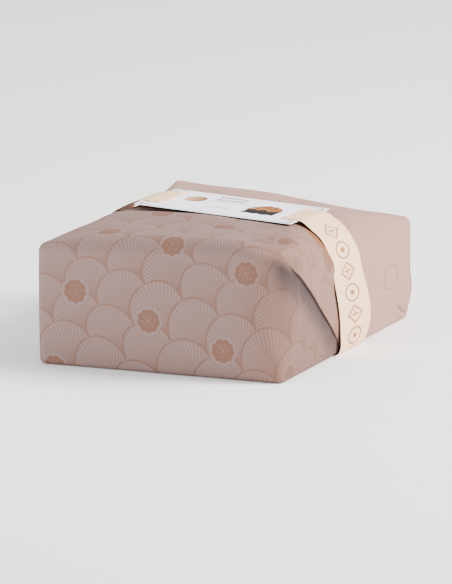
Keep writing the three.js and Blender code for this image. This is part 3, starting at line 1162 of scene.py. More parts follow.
class LabelCard:
    """The label card: a thin sheet with two slits that the band goes through."""

    NAME = "label_card_sheet"

    STEP = 3.0  # about how far apart the grid's lines are

    def __init__(self, form: CardForm, band: BandPlace) -> None:
        """Keeps the sizes.

        Args:
            form: The card's sizes.
            band: Where the band lies that goes through it.
        """
        self.form = form
        self.band = band

    def _breaks(self) -> tuple[np.ndarray, np.ndarray]:
        """Finds the grid's lines, with one on every edge of the card and of the slits.

        Returns:
            Their places across the card, and along its depth.
        """
        form = self.form
        slit = form.slit_width / 2
        half_x, half_y = form.width / 2, form.depth / 2
        reach = self.band.width / 2 + form.slit_room
        shift = self.band.middle - form.middle[1]
        marks_x = [-half_x, -form.slit_offset - slit, -form.slit_offset + slit]
        marks_x += [-mark for mark in reversed(marks_x)]
        marks_y = [-half_y, shift - reach, shift + reach, half_y]
        return self._fill(marks_x, self.STEP), self._fill(marks_y, self.STEP)

    @staticmethod
    def _fill(marks: Sequence[float], step: float) -> np.ndarray:
        """Fills the gaps between marks evenly.

        Args:
            marks: The marks, in order.
            step: About how far apart the lines shall be.

        Returns:
            The places of the marks and of the lines between them.
        """
        lines = [np.array([marks[0]])]
        for a, b in zip(marks, marks[1:]):
            lines.append(np.linspace(a, b, max(1, round((b - a) / step)) + 1)[1:])
        return np.concatenate(lines)

    def plan(self) -> MeshPlan:
        """Lays out the sheet's two faces and the walls round its rim and its slits.

        Returns:
            The mesh plan.
        """
        form = self.form
        xs, ys = self._breaks()
        grid_x, grid_y = np.meshgrid(xs, ys, indexing="ij")
        flat_x, flat_y = grid_x + form.middle[0], grid_y + form.middle[1]
        low = np.stack([flat_x, flat_y, form.underside(flat_x, flat_y)], -1)
        high = low + [0, 0, form.thickness]
        points = np.concatenate([low.reshape(-1, 3), high.reshape(-1, 3)])
        mid_x, mid_y = (xs[:-1] + xs[1:]) / 2, (ys[:-1] + ys[1:]) / 2
        reach = self.band.width / 2 + form.slit_room
        shift = self.band.middle - form.middle[1]
        in_slit_x = np.abs(np.abs(mid_x) - form.slit_offset) < form.slit_width / 2
        in_slit_y = np.abs(mid_y - shift) < reach
        kept = ~(in_slit_x[:, None] & in_slit_y[None, :])
        index = np.arange(len(xs) * len(ys)).reshape(len(xs), len(ys))
        a, b, c, d = index[:-1, :-1], index[1:, :-1], index[1:, 1:], index[:-1, 1:]
        cells = np.stack([a, b, c, d], -1)[kept]
        total = len(xs) * len(ys)
        faces = [cells + total, cells[:, ::-1]]
        sides = np.concatenate([cells[:, [k, (k + 1) % 4]] for k in range(4)])
        pairs = {tuple(side) for side in sides.tolist()}
        rim = np.array([side for side in sides.tolist() if (side[1], side[0]) not in pairs])
        walls = np.stack([rim[:, 0], rim[:, 1], rim[:, 1] + total, rim[:, 0] + total], -1)
        used = np.unique(np.concatenate([*(group.ravel() for group in faces), walls.ravel()]))
        renumber = np.full(len(points), -1)
        renumber[used] = np.arange(len(used))
        return MeshPlan(points[used], [renumber[np.concatenate([*faces, walls])]])

    def build(self, material: bpy.types.Material) -> bpy.types.Object:
        """Makes the card, in place of the plain solid.

        Args:
            material: The card's material.

        Returns:
            The new object.
        """
        plan = self.plan()
        made = plan.build(self.NAME, [material])
        x, y, z = plan.points.T
        on_top = z > self.form.underside(x, y) + self.form.thickness / 2
        rim = self._rim_points(made.data)
        sharpen(made.data, lambda a, b: (on_top[a] == on_top[b]) & rim[a] & rim[b])
        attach(made, "root")
        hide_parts("label_card")
        log.info("%s: %d points", made.name, len(made.data.vertices))
        return made

    @staticmethod
    def _rim_points(mesh: bpy.types.Mesh) -> np.ndarray:
        """Finds the points that lie on an upright wall.

        Args:
            mesh: The card's mesh.

        Returns:
            True for each such point.
        """
        rim = np.zeros(len(mesh.vertices), bool)
        for face in mesh.polygons:
            if abs(face.normal.z) < 0.5:
                rim[list(face.vertices)] = True
        return rim


# ---- finishes ----------------------------------------------------------------------------------
class Field:
    """A number worked out at every shaded point: arithmetic on it adds maths nodes."""

    def __init__(self, tree: bpy.types.NodeTree, socket: bpy.types.NodeSocket) -> None:
        """Wraps a socket.

        Args:
            tree: The material's nodes.
            socket: The output that carries the number.
        """
        self.tree = tree
        self.socket = socket

    def _join(self, operation: str, *values: "Field | float") -> "Field":
        """Adds a maths node.

        Args:
            operation: Its operation.
            *values: What goes into it, in order.

        Returns:
            What comes out of it.
        """
        node = self.tree.nodes.new("ShaderNodeMath")
        node.operation = operation
        for entry, value in zip(node.inputs, values):
            if isinstance(value, Field):
                self.tree.links.new(value.socket, entry)
            else:
                entry.default_value = float(value)
        return Field(self.tree, node.outputs[0])

    def __add__(self, other: "Field | float") -> "Field":
        """Their sum."""
        return self._join("ADD", self, other)

    def __sub__(self, other: "Field | float") -> "Field":
        """This less the other."""
        return self._join("SUBTRACT", self, other)

    def __rsub__(self, other: "Field | float") -> "Field":
        """The other less this."""
        return self._join("SUBTRACT", other, self)

    def __mul__(self, other: "Field | float") -> "Field":
        """Their product."""
        return self._join("MULTIPLY", self, other)

    def __truediv__(self, other: "Field | float") -> "Field":
        """This over the other."""
        return self._join("DIVIDE", self, other)

    __radd__ = __add__
    __rmul__ = __mul__

    def abs(self) -> "Field":
        """Its size without the sign."""
        return self._join("ABSOLUTE", self)

    def floor(self) -> "Field":
        """Rounded down."""
        return self._join("FLOOR", self)

    def fract(self) -> "Field":
        """Its part after the point."""
        return self._join("FRACT", self)

    def root(self) -> "Field":
        """Its square root."""
        return self._join("SQRT", self)

    def sin(self) -> "Field":
        """Its sine."""
        return self._join("SINE", self)

    def cos(self) -> "Field":
        """Its cosine."""
        return self._join("COSINE", self)

    def angle(self, other: "Field | float") -> "Field":
        """The angle whose tangent is this over the other."""
        return self._join("ARCTAN2", self, other)

    def least(self, other: "Field | float") -> "Field":
        """The lesser of two."""
        return self._join("MINIMUM", self, other)

    def most(self, other: "Field | float") -> "Field":
        """The greater of two."""
        return self._join("MAXIMUM", self, other)

    def below(self, other: "Field | float") -> "Field":
        """1 where it is less than the other, and 0 elsewhere."""
        return self._join("LESS_THAN", self, other)

    def length(self, other: "Field") -> "Field":
        """The length of the pair made of this and the other."""
        return (self * self + other * other).root()

    def pick(self, inside: "Field | float", outside: "Field | float") -> "Field":
        """Inside where this is 1 and outside where it is 0."""
        return self * inside + (1.0 - self) * outside

    def fade(self, low: float, high: float, start: float = 1.0, end: float = 0.0) -> "Field":
        """Changes smoothly from one value to another as this number grows.

        Args:
            low: Up to here the result is the first value.
            high: From here on it is the second.
            start: The first value.
            end: The second value.

        Returns:
            The result.
        """
        node = self.tree.nodes.new("ShaderNodeMapRange")
        node.interpolation_type = "SMOOTHSTEP"
        ends = {"From Min": low, "From Max": high, "To Min": start, "To Max": end}
        for name, value in ends.items():
            node.inputs[name].default_value = value
        self.tree.links.new(self.socket, node.inputs["Value"])
        return Field(self.tree, node.outputs["Result"])


@dataclass(frozen=True)
class Grain:
    """A soft noise about 0: about how many millimetres wide its blotches are, and its make-up."""

    size: float
    strength: float = 1.0
    detail: float = 3.0
    roughness: float = 0.5


class Canvas:
    """One material being built: its coordinates in millimetres, its noises, colours and surface."""

    def __init__(self, name: str) -> None:
        """Starts a material with one plain surface.

        Args:
            name: The material's name.
        """
        self.material = bpy.data.materials.new(name)
        self.material.use_nodes = True
        self.tree = self.material.node_tree
        self.tree.nodes.clear()
        self.surface = self.tree.nodes.new("ShaderNodeBsdfPrincipled")
        output = self.tree.nodes.new("ShaderNodeOutputMaterial")
        self.tree.links.new(self.surface.outputs["BSDF"], output.inputs["Surface"])

    def _split(self, socket: bpy.types.NodeSocket, scale: float) -> list[Field]:
        """Splits a vector.

        Args:
            socket: The output that carries it.
            scale: What each part is multiplied by.

        Returns:
            Its three parts.
        """
        node = self.tree.nodes.new("ShaderNodeSeparateXYZ")
        self.tree.links.new(socket, node.inputs[0])
        return [Field(self.tree, out) * scale for out in node.outputs]

    def paper(self) -> tuple[Field, Field]:
        """Reads where a point lies on the flat paper.

        Returns:
            Its two places there, in millimetres.
        """
        node = self.tree.nodes.new("ShaderNodeUVMap")
        node.uv_map = "paper"
        u, v, _ = self._split(node.outputs[0], 1.0)
        return u, v

    def place(self) -> list[Field]:
        """Where a point lies in the object's own frame."""
        node = self.tree.nodes.new("ShaderNodeTexCoord")
        return self._split(node.outputs["Object"], 1000.0)

    def grain(self, *layers: Grain) -> Field:
        """Adds up soft noises in the object's own frame.

        Args:
            *layers: The noises.

        Returns:
            Their sum.
        """
        where = self.tree.nodes.new("ShaderNodeTexCoord")
        noises = []
        for layer in layers:
            node = self.tree.nodes.new("ShaderNodeTexNoise")
            node.inputs["Scale"].default_value = 1000.0 / layer.size
            node.inputs["Detail"].default_value = layer.detail
            node.inputs["Roughness"].default_value = layer.roughness
            self.tree.links.new(where.outputs["Object"], node.inputs["Vector"])
            noises.append((Field(self.tree, node.outputs[0]) - 0.5) * layer.strength)
        return sum(noises[1:], noises[0])

    def noise_on(self, u: Field, v: Field, size: float, seed: float) -> Field:
        """Makes soft noise about 0 on the flat paper.

        Args:
            u: The place across the paper.
            v: The place along it.
            size: About how many millimetres wide its blotches are.
            seed: Which noise it is.

        Returns:
            The noise.
        """
        join = self.tree.nodes.new("ShaderNodeCombineXYZ")
        self.tree.links.new((u / size).socket, join.inputs[0])
        self.tree.links.new((v / size).socket, join.inputs[1])
        join.inputs[2].default_value = seed
        node = self.tree.nodes.new("ShaderNodeTexNoise")
        node.inputs["Scale"].default_value = 1.0
        node.inputs["Detail"].default_value = 0.0
        self.tree.links.new(join.outputs[0], node.inputs["Vector"])
        return Field(self.tree, node.outputs[0]) - 0.5

    def blend(self, share: Field, under: Paint, over: Paint) -> bpy.types.NodeSocket:
        """Lays one colour over another.

        Args:
            share: How much of the upper one shows.
            under: The lower colour.
            over: The upper colour.

        Returns:
            The mixed colour.
        """
        node = self.tree.nodes.new("ShaderNodeMix")
        node.data_type = "RGBA"
        self.tree.links.new(share.socket, node.inputs["Factor"])
        for entry, value in ((node.inputs[6], under), (node.inputs[7], over)):
            if isinstance(value, tuple):
                entry.default_value = (*value, 1.0)
            else:
                self.tree.links.new(value, entry)
        return node.outputs[2]

    def shade(self, colour: Paint, amount: Field) -> bpy.types.NodeSocket:
        """Makes a colour lighter or darker.

        Args:
            colour: The colour.
            amount: How much lighter, as a share of it, or darker where it is negative.

        Returns:
            The new colour.
        """
        node = self.tree.nodes.new("ShaderNodeVectorMath")
        node.operation = "SCALE"
        if isinstance(colour, tuple):
            node.inputs[0].default_value = colour
        else:
            self.tree.links.new(colour, node.inputs[0])
        self.tree.links.new((amount + 1.0).socket, node.inputs["Scale"])
        return node.outputs[0]

    def paint(self, colour: Paint) -> None:
        """Sets the surface's colour.

        Args:
            colour: The colour.
        """
        entry = self.surface.inputs["Base Color"]
        if isinstance(colour, tuple):
            entry.default_value = (*colour, 1.0)
        else:
            self.tree.links.new(colour, entry)

    def rough(self, value: Field) -> None:
        """Sets the surface's roughness."""
        self.tree.links.new(value.socket, self.surface.inputs["Roughness"])

    def metal(self, value: Field) -> None:
        """Sets how metallic the surface is."""
        self.tree.links.new(value.socket, self.surface.inputs["Metallic"])

    def constants(self, **values: float) -> None:
        """Sets plain numbers of the surface.

        Args:
            **values: The numbers, with underscores for the spaces in their names.
        """
        for name, value in values.items():
            self.surface.inputs[name.replace("_", " ")].default_value = value

    def relief(self, height: Field, distance: float, strength: float) -> None:
        """Gives the surface a fine relief.

        Args:
            height: Its height, as a share of the distance.
            distance: How high it is where the height is 1, in millimetres.
            strength: How strongly it shows.
        """
        node = self.tree.nodes.new("ShaderNodeBump")
        node.inputs["Strength"].default_value = strength
        node.inputs["Distance"].default_value = distance * MM
        self.tree.links.new(height.socket, node.inputs["Height"])
        self.tree.links.new(node.outputs[0], self.surface.inputs["Normal"])


AWAY = 99.0  # millimetres, further than any printed line reaches


# A print's pair for a line or an edge holds the places where its ink starts to fade and ends.
@dataclass(frozen=True)
class FanPrint:
    """A printed pattern of overlapping fans with fine ribs, and small flowers set among them."""

    radius: float = 27.0
    tilt: float = 26.0
    sway: float = 9.0
    sway_size: float = 85.0
    sway_seeds: Pair = (3.7, 8.3)
    rib_angle: float = 0.074
    rib_line: Pair = (0.216, 0.54)
    rim_line: Pair = (0.665, 1.235)
    fan_strength: float = 0.82
    motif_pitch: float = 79.0
    motif_turn: float = -17.0
    motif_start: Pair = (14.0, 6.0)
    motif_radius: float = 11.8
    motif_lobes: float = 9.0
    lobe_depth: float = 0.055
    halo: float = 2.6
    edge: float = 0.35
    petals: float = 6.0
    petal_depth: float = 0.26
    flower_share: float = 0.6
    flower_line: Pair = (0.25, 0.7)
    flower_strength: float = 0.55
    eye: Pair = (1.3, 1.9)

    def fans(self, canvas: Canvas, u: Field, v: Field) -> Field:
        """Prints the fans: each is drawn whole over those of the row behind it.

        Args:
            canvas: The material being built.
            u: The place across the paper.
            v: The place along it.

        Returns:
            The share of ink from their rims and ribs.
        """
        cosine, sine = math.cos(math.radians(self.tilt)), math.sin(math.radians(self.tilt))
        sway_x, sway_y = (canvas.noise_on(u, v, self.sway_size, seed) for seed in self.sway_seeds)
        x = u * cosine + v * sine + sway_x * (2 * self.sway)
        y = v * cosine - u * sine + sway_y * (2 * self.sway)
        y = y / self.radius
        row = y.floor()
        t = y.fract()
        odd = (row * 0.5).fract()
        across = x / (2 * self.radius) + odd
        near_x = (across.fract() - 0.5) * 2.0
        far_x = ((across + 0.5).fract() - 0.5) * 2.0
        near = near_x.length(t)
        far = far_x.length(1.0 - t)
        inside = near.below(1.0)
        local_x = inside.pick(near_x, far_x)
        local_y = inside.pick(t, t - 1.0) + 1.0
        reach = local_x.length(local_y) * self.radius
        angle = local_x.angle(local_y)
        rib = ((angle / self.rib_angle).fract() - 0.5).abs() * self.rib_angle * reach
        ribs = rib.fade(*self.rib_line)
        rim_near = (near - 1.0).abs() * self.radius
        rim_far = ((far - 1.0).abs() * self.radius) + inside * AWAY
        rims = rim_near.least(rim_far).fade(*self.rim_line)
        return ribs.most(rims)

    def motif_place(self, u: Field, v: Field) -> tuple[Field, Field]:
        """Finds the nearest flower.

        Args:
            u: The place across the paper.
            v: The place along it.

        Returns:
            The distance to its middle, and the direction from there.
        """
        turn = math.radians(self.motif_turn)
        x = (u * math.cos(turn) + v * math.sin(turn) - self.motif_start[0]) / self.motif_pitch
        y = (v * math.cos(turn) - u * math.sin(turn) - self.motif_start[1]) / self.motif_pitch
        dx = (x.fract() - 0.5) * self.motif_pitch
        dy = (y.fract() - 0.5) * self.motif_pitch
        return dx.length(dy), dx.angle(dy)

    def ink(self, canvas: Canvas, u: Field, v: Field) -> Field:
        """Prints the whole pattern.

        Args:
            canvas: The material being built.
            u: The place across the paper.
            v: The place along it.

        Returns:
            The share of ink.
        """
        away, angle = self.motif_place(u, v)
        lobes = (angle * self.motif_lobes).cos() * self.lobe_depth + (1.0 - self.lobe_depth)
        outside = away - lobes * self.motif_radius
        disc = outside.fade(-self.edge, self.edge)
        halo = outside.fade(self.halo - self.edge, self.halo + self.edge)
        petals = (angle * self.petals).cos() * self.petal_depth + (1.0 - self.petal_depth)
        flower = (away - petals * (self.motif_radius * self.flower_share)).abs()
        bare = flower.fade(*self.flower_line).most(away.fade(*self.eye)) * self.flower_strength
        return halo.pick(disc * (1.0 - bare), self.fans(canvas, u, v) * self.fan_strength)


@dataclass(frozen=True)
class RingPrint:
    """Faint dotted rings on plain paper."""

    pitch: Pair = (150.0, 132.0)
    start: Pair = (96.0, 83.0)
    radius: float = 11.6
    line: Pair = (0.45, 1.125)
    stretch: float = 1.5
    dots: float = 26.0
    dot_rise: Pair = (-0.2, 0.5)
    gap_ink: float = 0.35
    strength: float = 0.9
    first_run: float = 300.0

    def _ring(self, u: Field, v: Field, shift: float) -> Field:
        """Prints one set of rings.

        Args:
            u: The place across the paper.
            v: The place along it.
            shift: How far the set is moved, as a share of the pitch both ways.

        Returns:
            The share of ink.
        """
        du = (((u - self.start[0]) / self.pitch[0] + shift).fract() - 0.5) * self.pitch[0]
        dv = (((v - self.start[1]) / self.pitch[1] + shift).fract() - 0.5) * self.pitch[1]
        dv = dv / self.stretch
        away = (du.length(dv) - self.radius).abs()
        line = away.fade(*self.line)
        return line * (du.angle(dv) * self.dots).sin().fade(*self.dot_rise, self.gap_ink, 1.0)

    def ink(self, u: Field, v: Field) -> Field:
        """Prints both sets of rings on the run of paper that lies behind the band.

        Args:
            u: The place across the paper.
            v: The place along it.

        Returns:
            The share of ink.
        """
        behind = v.fade(self.first_run - 1.0, self.first_run, 0.0, self.strength)
        return self._ring(u, v, 0.0).most(self._ring(u, v, 0.5)) * behind


@dataclass(frozen=True)
class WrappingPaper:
    """The pack's paper: printed mauve in front of the band, plain and paler behind it, with some
    light and shade painted into its colour.
    """

    front: Colour = (0.236, 0.163, 0.151)
    # The paper's colour painted warmer towards the right side, where the warm key light falls.
    front_painted_warm_light: Colour = (0.243, 0.146, 0.119)
    ink: Colour = (0.180, 0.094, 0.067)
    # painted_copper_shade: painted shade, tinted copper as if lit by the band's lining, on the paper
    # under the band
    painted_copper_shade: Colour = (0.205, 0.088, 0.043)
    # tucked: the dark colour of the shade painted onto the gussets below the flaps
    tucked: Colour = (0.036, 0.031, 0.034)
    back: Colour = (0.340, 0.205, 0.175)
    ring_ink: Colour = (0.20, 0.10, 0.075)
    pattern: FanPrint = FanPrint()
    rings: RingPrint = RingPrint()
    flaps: FlapForm = FlapForm()
    right_change: Pair = (60.0, 125.0)
    change_front: float = -32.3
    change_back: float = 31.0
    change_half: float = 0.4
    # The shoulder and low numbers shape the strip of painted copper shade in front of the band.
    shoulder: float = 107.0
    shoulder_reach: float = 19.2
    shoulder_strip: float = 11.0
    shoulder_height: Pair = (85.0, 105.0)
    low_strip: float = 9.0
    low_height: Pair = (45.0, 85.0)
    # The gusset numbers place the shade painted onto the tucked gussets.
    gusset_edge: Pair = (0.5, 8.0)
    gusset_reach: Pair = (5.0, 45.0)
    gusset_shade: Pair = (0.62, 0.27)
    gusset_corner: Pair = (-172.5, -156.0)
    gusset_soft: Pair = (0.74, 0.88)
    gusset_low: Pair = (0.35, 0.72)
    gusset_left: Pair = (100.0, 0.45)
    # The valley numbers place a painted shade along the valley over the front right ridge.
    valley_start: Point = (125.0, -140.0, 104.0)
    valley_end: Point = (84.0, -138.0, 127.0)
    valley_reach: Pair = (2.0, 15.0)
    valley_shade: float = 0.17
    # The crease numbers place a thin painted shadow line along the low back creases.
    crease_middle: float = 15.5
    crease_half: Pair = (8.0, 16.0)
    crease_line: Pair = (0.3, 1.2)
    crease_side: Pair = (117.0, 119.0)
    crease_shade: float = 0.38
    # Painted light: how much lighter the top is painted towards the back.
    painted_top_back_light: float = 0.12
    top_back: Pair = (60.0, 172.0)
    top_foot: Pair = (97.0, 112.0)
    blotches: tuple[Grain, ...] = (Grain(60.0, 0.05), Grain(1.4, 0.05, 4.0, 0.7))
    roughness: float = 0.52
    uneven_gloss: Grain = Grain(9.0, 0.08)
    specular: float = 0.03
    fibres: tuple[Grain, ...] = (Grain(0.9, 1.0, 5.0, 0.75), Grain(5.0, 0.8))
    fibre_relief: Pair = (0.12, 0.35)

    def _painted_gusset_shade(self, x: Field, y: Field, z: Field) -> Field:
        """Paints shade onto the tucked gussets, darkest just below the front flaps, where the flaps
        shade them.

        Args:
            x: The place across the pack.
            y: The place along its depth.
            z: The height.

        Returns:
            The share of the painted shade colour.
        """
        flaps = self.flaps
        share = (y - flaps.front_end) * (-1.0 / (flaps.front_end - flaps.front_start))
        bow = share * (1.0 - share) * (4 * flaps.bow)
        drop = share * (flaps.top - flaps.foot) + bow + flaps.foot - z
        crisp, soft = (drop.fade(-half, half, 0.0, 1.0) for half in self.gusset_edge)
        low_reach, low_share = self.gusset_low
        left_reach, left_share = self.gusset_left
        below = share.fade(*self.gusset_soft).pick(crisp, soft)
        below = below * share.fade(0.0, low_reach, low_share, 1.0)
        below = below * y.fade(*self.gusset_corner, 0.0, 1.0)
        below = below * x.fade(-left_reach, left_reach, left_share, 1.0)
        near, far = self.gusset_shade
        return below * (drop.fade(*self.gusset_reach, near, 0.0) + far)

    def _painted_valley_shade(self, x: Field, y: Field, z: Field) -> Field:
        """Paints shade along the soft valley that runs from the front right flap over the ridge.

        Args:
            x: The place across the pack.
            y: The place along its depth.
            z: The height.

        Returns:
            How much darker the painted shade makes it.
        """
        start, end = np.array(self.valley_start), np.array(self.valley_end)
        heading = (end - start) / np.linalg.norm(end - start)
        offsets = [part - float(low) for part, low in zip((x, y, z), start)]
        along = sum(offset * float(share) for offset, share in zip(offsets, heading))
        along = along.most(0.0).least(float(np.linalg.norm(end - start)))
        aside = [offset - along * float(share) for offset, share in zip(offsets, heading)]
        away = sum(part * part for part in aside).root()
        return away.fade(*self.valley_reach, self.valley_shade, 0.0)

    def _painted_crease_shade(self, x: Field, y: Field, z: Field) -> Field:
        """Paints a thin line of shade along the sharp crease low at the back of each long side.

        Args:
            x: The place across the pack.
            y: The place along its depth.
            z: The height.

        Returns:
            How much darker the painted shade makes it.
        """
        (start_y, start_z), (end_y, end_z) = LOW_CREASE
        length = math.hypot(end_y - start_y, end_z - start_z)
        heading_y, heading_z = (end_y - start_y) / length, (end_z - start_z) / length
        along = (y - start_y) * heading_y + (z - start_z) * heading_z
        away = (z - start_z) * heading_y - (y - start_y) * heading_z
        middle = (along - self.crease_middle).abs().fade(*self.crease_half)
        on_side = x.abs().fade(*self.crease_side, 0.0, self.crease_shade)
        return away.abs().fade(*self.crease_line) * middle * on_side

    def _past(self, y: Field, line: float) -> Field:
        """0 in front of a line across the pack and 1 behind it."""
        return y.fade(line - self.change_half, line + self.change_half, 0.0, 1.0)

    def _beyond_print(self, x: Field, y: Field, z: Field) -> Field:
        """Finds where the print ends: at the band, and in front of it on the shoulders, where a
        strip of painted copper shade shows below the band's edge.

        Args:
            x: The place across the pack.
            y: The place along its depth.
            z: The height.

        Returns:
            0 on the print and 1 beyond it.
        """
        beside = (x.abs() - self.shoulder).abs().fade(0.0, self.shoulder_reach)
        strip = y + beside * z.fade(*self.shoulder_height, 0.0, self.shoulder_strip)
        strip = strip - z.fade(*self.low_height, self.low_strip, 0.0)
        return self._past(strip, self.change_front)

    def material(self) -> bpy.types.Material:
        """Makes the material.

        Returns:
            The material.
        """
        canvas = Canvas("wrapping_paper")
        u, v = canvas.paper()
        x, y, z = canvas.place()
        blotch = canvas.grain(*self.blotches)
        ink = self.pattern.ink(canvas, u, v)
        # Painted warm light: the paper shifts to a warmer colour towards the right side.
        ground = canvas.blend(x.fade(*self.right_change, 0.0, 1.0), self.front, self.front_painted_warm_light)
        printed = canvas.blend(ink, ground, self.ink)
        plain = canvas.blend(self.rings.ink(u, v), self.back, self.ring_ink)
        # Painted copper shade on the paper under the band and in a strip in front of it.
        unprinted = canvas.blend(self._past(y, self.change_back), self.painted_copper_shade, plain)
        colour = canvas.blend(self._beyond_print(x, y, z), printed, unprinted)
        # Painted shade: the gussets below the front flaps are darkened, most near the flaps' edges.
        colour = canvas.blend(self._painted_gusset_shade(x, y, z), colour, self.tucked)
        # Painted shade along the low back creases and along the front right valley.
        darker = self._painted_crease_shade(x, y, z) + self._painted_valley_shade(x, y, z)
        # Painted light: the top is painted lighter towards the back.
        lighter = y.fade(*self.top_back, 0.0, self.painted_top_back_light) * z.fade(*self.top_foot, 0.0, 1.0)
        canvas.paint(canvas.shade(colour, blotch + lighter - darker))
        canvas.rough(canvas.grain(self.uneven_gloss) + self.roughness)
        canvas.constants(Specular_IOR_Level=self.specular)
        canvas.relief(canvas.grain(*self.fibres), *self.fibre_relief)
        return canvas.material


@dataclass(frozen=True)
class BandPaper:
    """The band's outer face: cream paper with a plain running ornament."""

    paper: Colour = (0.84, 0.58, 0.37)
    ink: Colour = (0.26, 0.10, 0.045)
    strength: float = 0.9
    pitch: float = 42.0
    half_along: float = 9.3
    half_across: float = 16.5
    ring_share: float = 0.86
    ring_line: Pair = (0.05, 0.115)
    lozenge_share: float = 0.9
    lozenge_line: Pair = (0.07, 0.155)
    core: Pair = (2.6, 4.6)
    core_edge: Pair = (0.92, 1.06)
    cross: Pair = (3.8, 7.2)
    cross_line: Pair = (0.45, 0.95)
    top: Pair = (120.0, 123.0)
    foot: Pair = (1.0, 2.5)
    blotches: tuple[Grain, ...] = (Grain(24.0, 0.04), Grain(0.8, 0.07, 4.0, 0.7))
    roughness: float = 0.68
    specular: float = 0.02
    fibres: Grain = Grain(0.7, 1.0, 5.0, 0.75)
    fibre_relief: Pair = (0.1, 0.45)

    def _ornament(self, u: Field, v: Field) -> Field:
        """Prints lozenges with a cross and rings with a core, in turn along the band.

        Args:
            u: The place along the band.
            v: The place across it.

        Returns:
            The share of ink.
        """
        along = ((u / self.pitch).fract() - 0.5) * self.pitch
        turned = ((u / self.pitch + 0.5).fract() - 0.5) * self.pitch
        lozenge = along.abs() / self.half_along + v.abs() / self.half_across
        ring = (turned / self.half_along).length(v / self.half_across)
        rings = (ring - self.ring_share).abs().fade(*self.ring_line)
        core = (turned / self.core[0]).length(v / self.core[1]).fade(*self.core_edge)
        thin = (lozenge - self.lozenge_share).abs().fade(*self.lozenge_line)
        arm_along, arm_across = self.cross
        upright = along.abs().fade(*self.cross_line) * v.abs().fade(arm_across, arm_across + 0.5)
        level = v.abs().fade(*self.cross_line) * along.abs().fade(arm_along, arm_along + 0.5)
        return thin.most(rings).most(core).most(upright.most(level))

    def material(self) -> bpy.types.Material:
        """Makes the material, its ornament on the band's two upright sides alone.

        Returns:
            The material.
        """
        canvas = Canvas("band_cream_paper")
        u, v = canvas.paper()
        _, _, z = canvas.place()
        on_side = z.fade(*self.top) * z.fade(*self.foot, 0.0, self.strength)
        colour = canvas.blend(self._ornament(u, v) * on_side, self.paper, self.ink)
        canvas.paint(canvas.shade(colour, canvas.grain(*self.blotches)))
        canvas.constants(Roughness=self.roughness, Specular_IOR_Level=self.specular)
        canvas.relief(canvas.grain(self.fibres), *self.fibre_relief)
        return canvas.material


@dataclass(frozen=True)
class BandLining:
    """The band's inner face, in a warm copper tone."""

    paper: Colour = (0.95, 0.50, 0.24)
    blotches: Grain = Grain(6.0, 0.12)
    roughness: float = 0.46
    uneven_gloss: Grain = Grain(3.0, 0.1)
    metallic: float = 0.8
    fibres: Grain = Grain(0.9, 1.0, 4.0)
    fibre_relief: Pair = (0.08, 0.3)

    def material(self) -> bpy.types.Material:
        """Makes the material.

        Returns:
            The material.
        """
        canvas = Canvas("band_copper_lining")
        canvas.paint(canvas.shade(self.paper, canvas.grain(self.blotches)))
        canvas.rough(canvas.grain(self.uneven_gloss) + self.roughness)
        canvas.constants(Metallic=self.metallic)
        canvas.relief(canvas.grain(self.fibres), *self.fibre_relief)
        return canvas.material


@dataclass(frozen=True)
class StrokeRow:
    """A row of short upright strokes on the card, with softened ends."""

    middle: Pair
    half: Pair
    step: float
    strength: float = 1.0
    end_edge: float = 0.3
    line: Pair = (0.24, 0.38)

    def ink(self, x: Field, y: Field) -> Field:
        """Prints the row.

        Args:
            x: The place across the card.
            y: The place along its depth.

        Returns:
            The share of ink.
        """
        inside = (x / self.step).fract() - 0.5
        inside = inside.abs().fade(*self.line, self.strength, 0.0)
        for place, middle, half in zip((x, y), self.middle, self.half):
            inside = inside * (place - middle).abs().fade(half - self.end_edge, half + self.end_edge)
        return inside


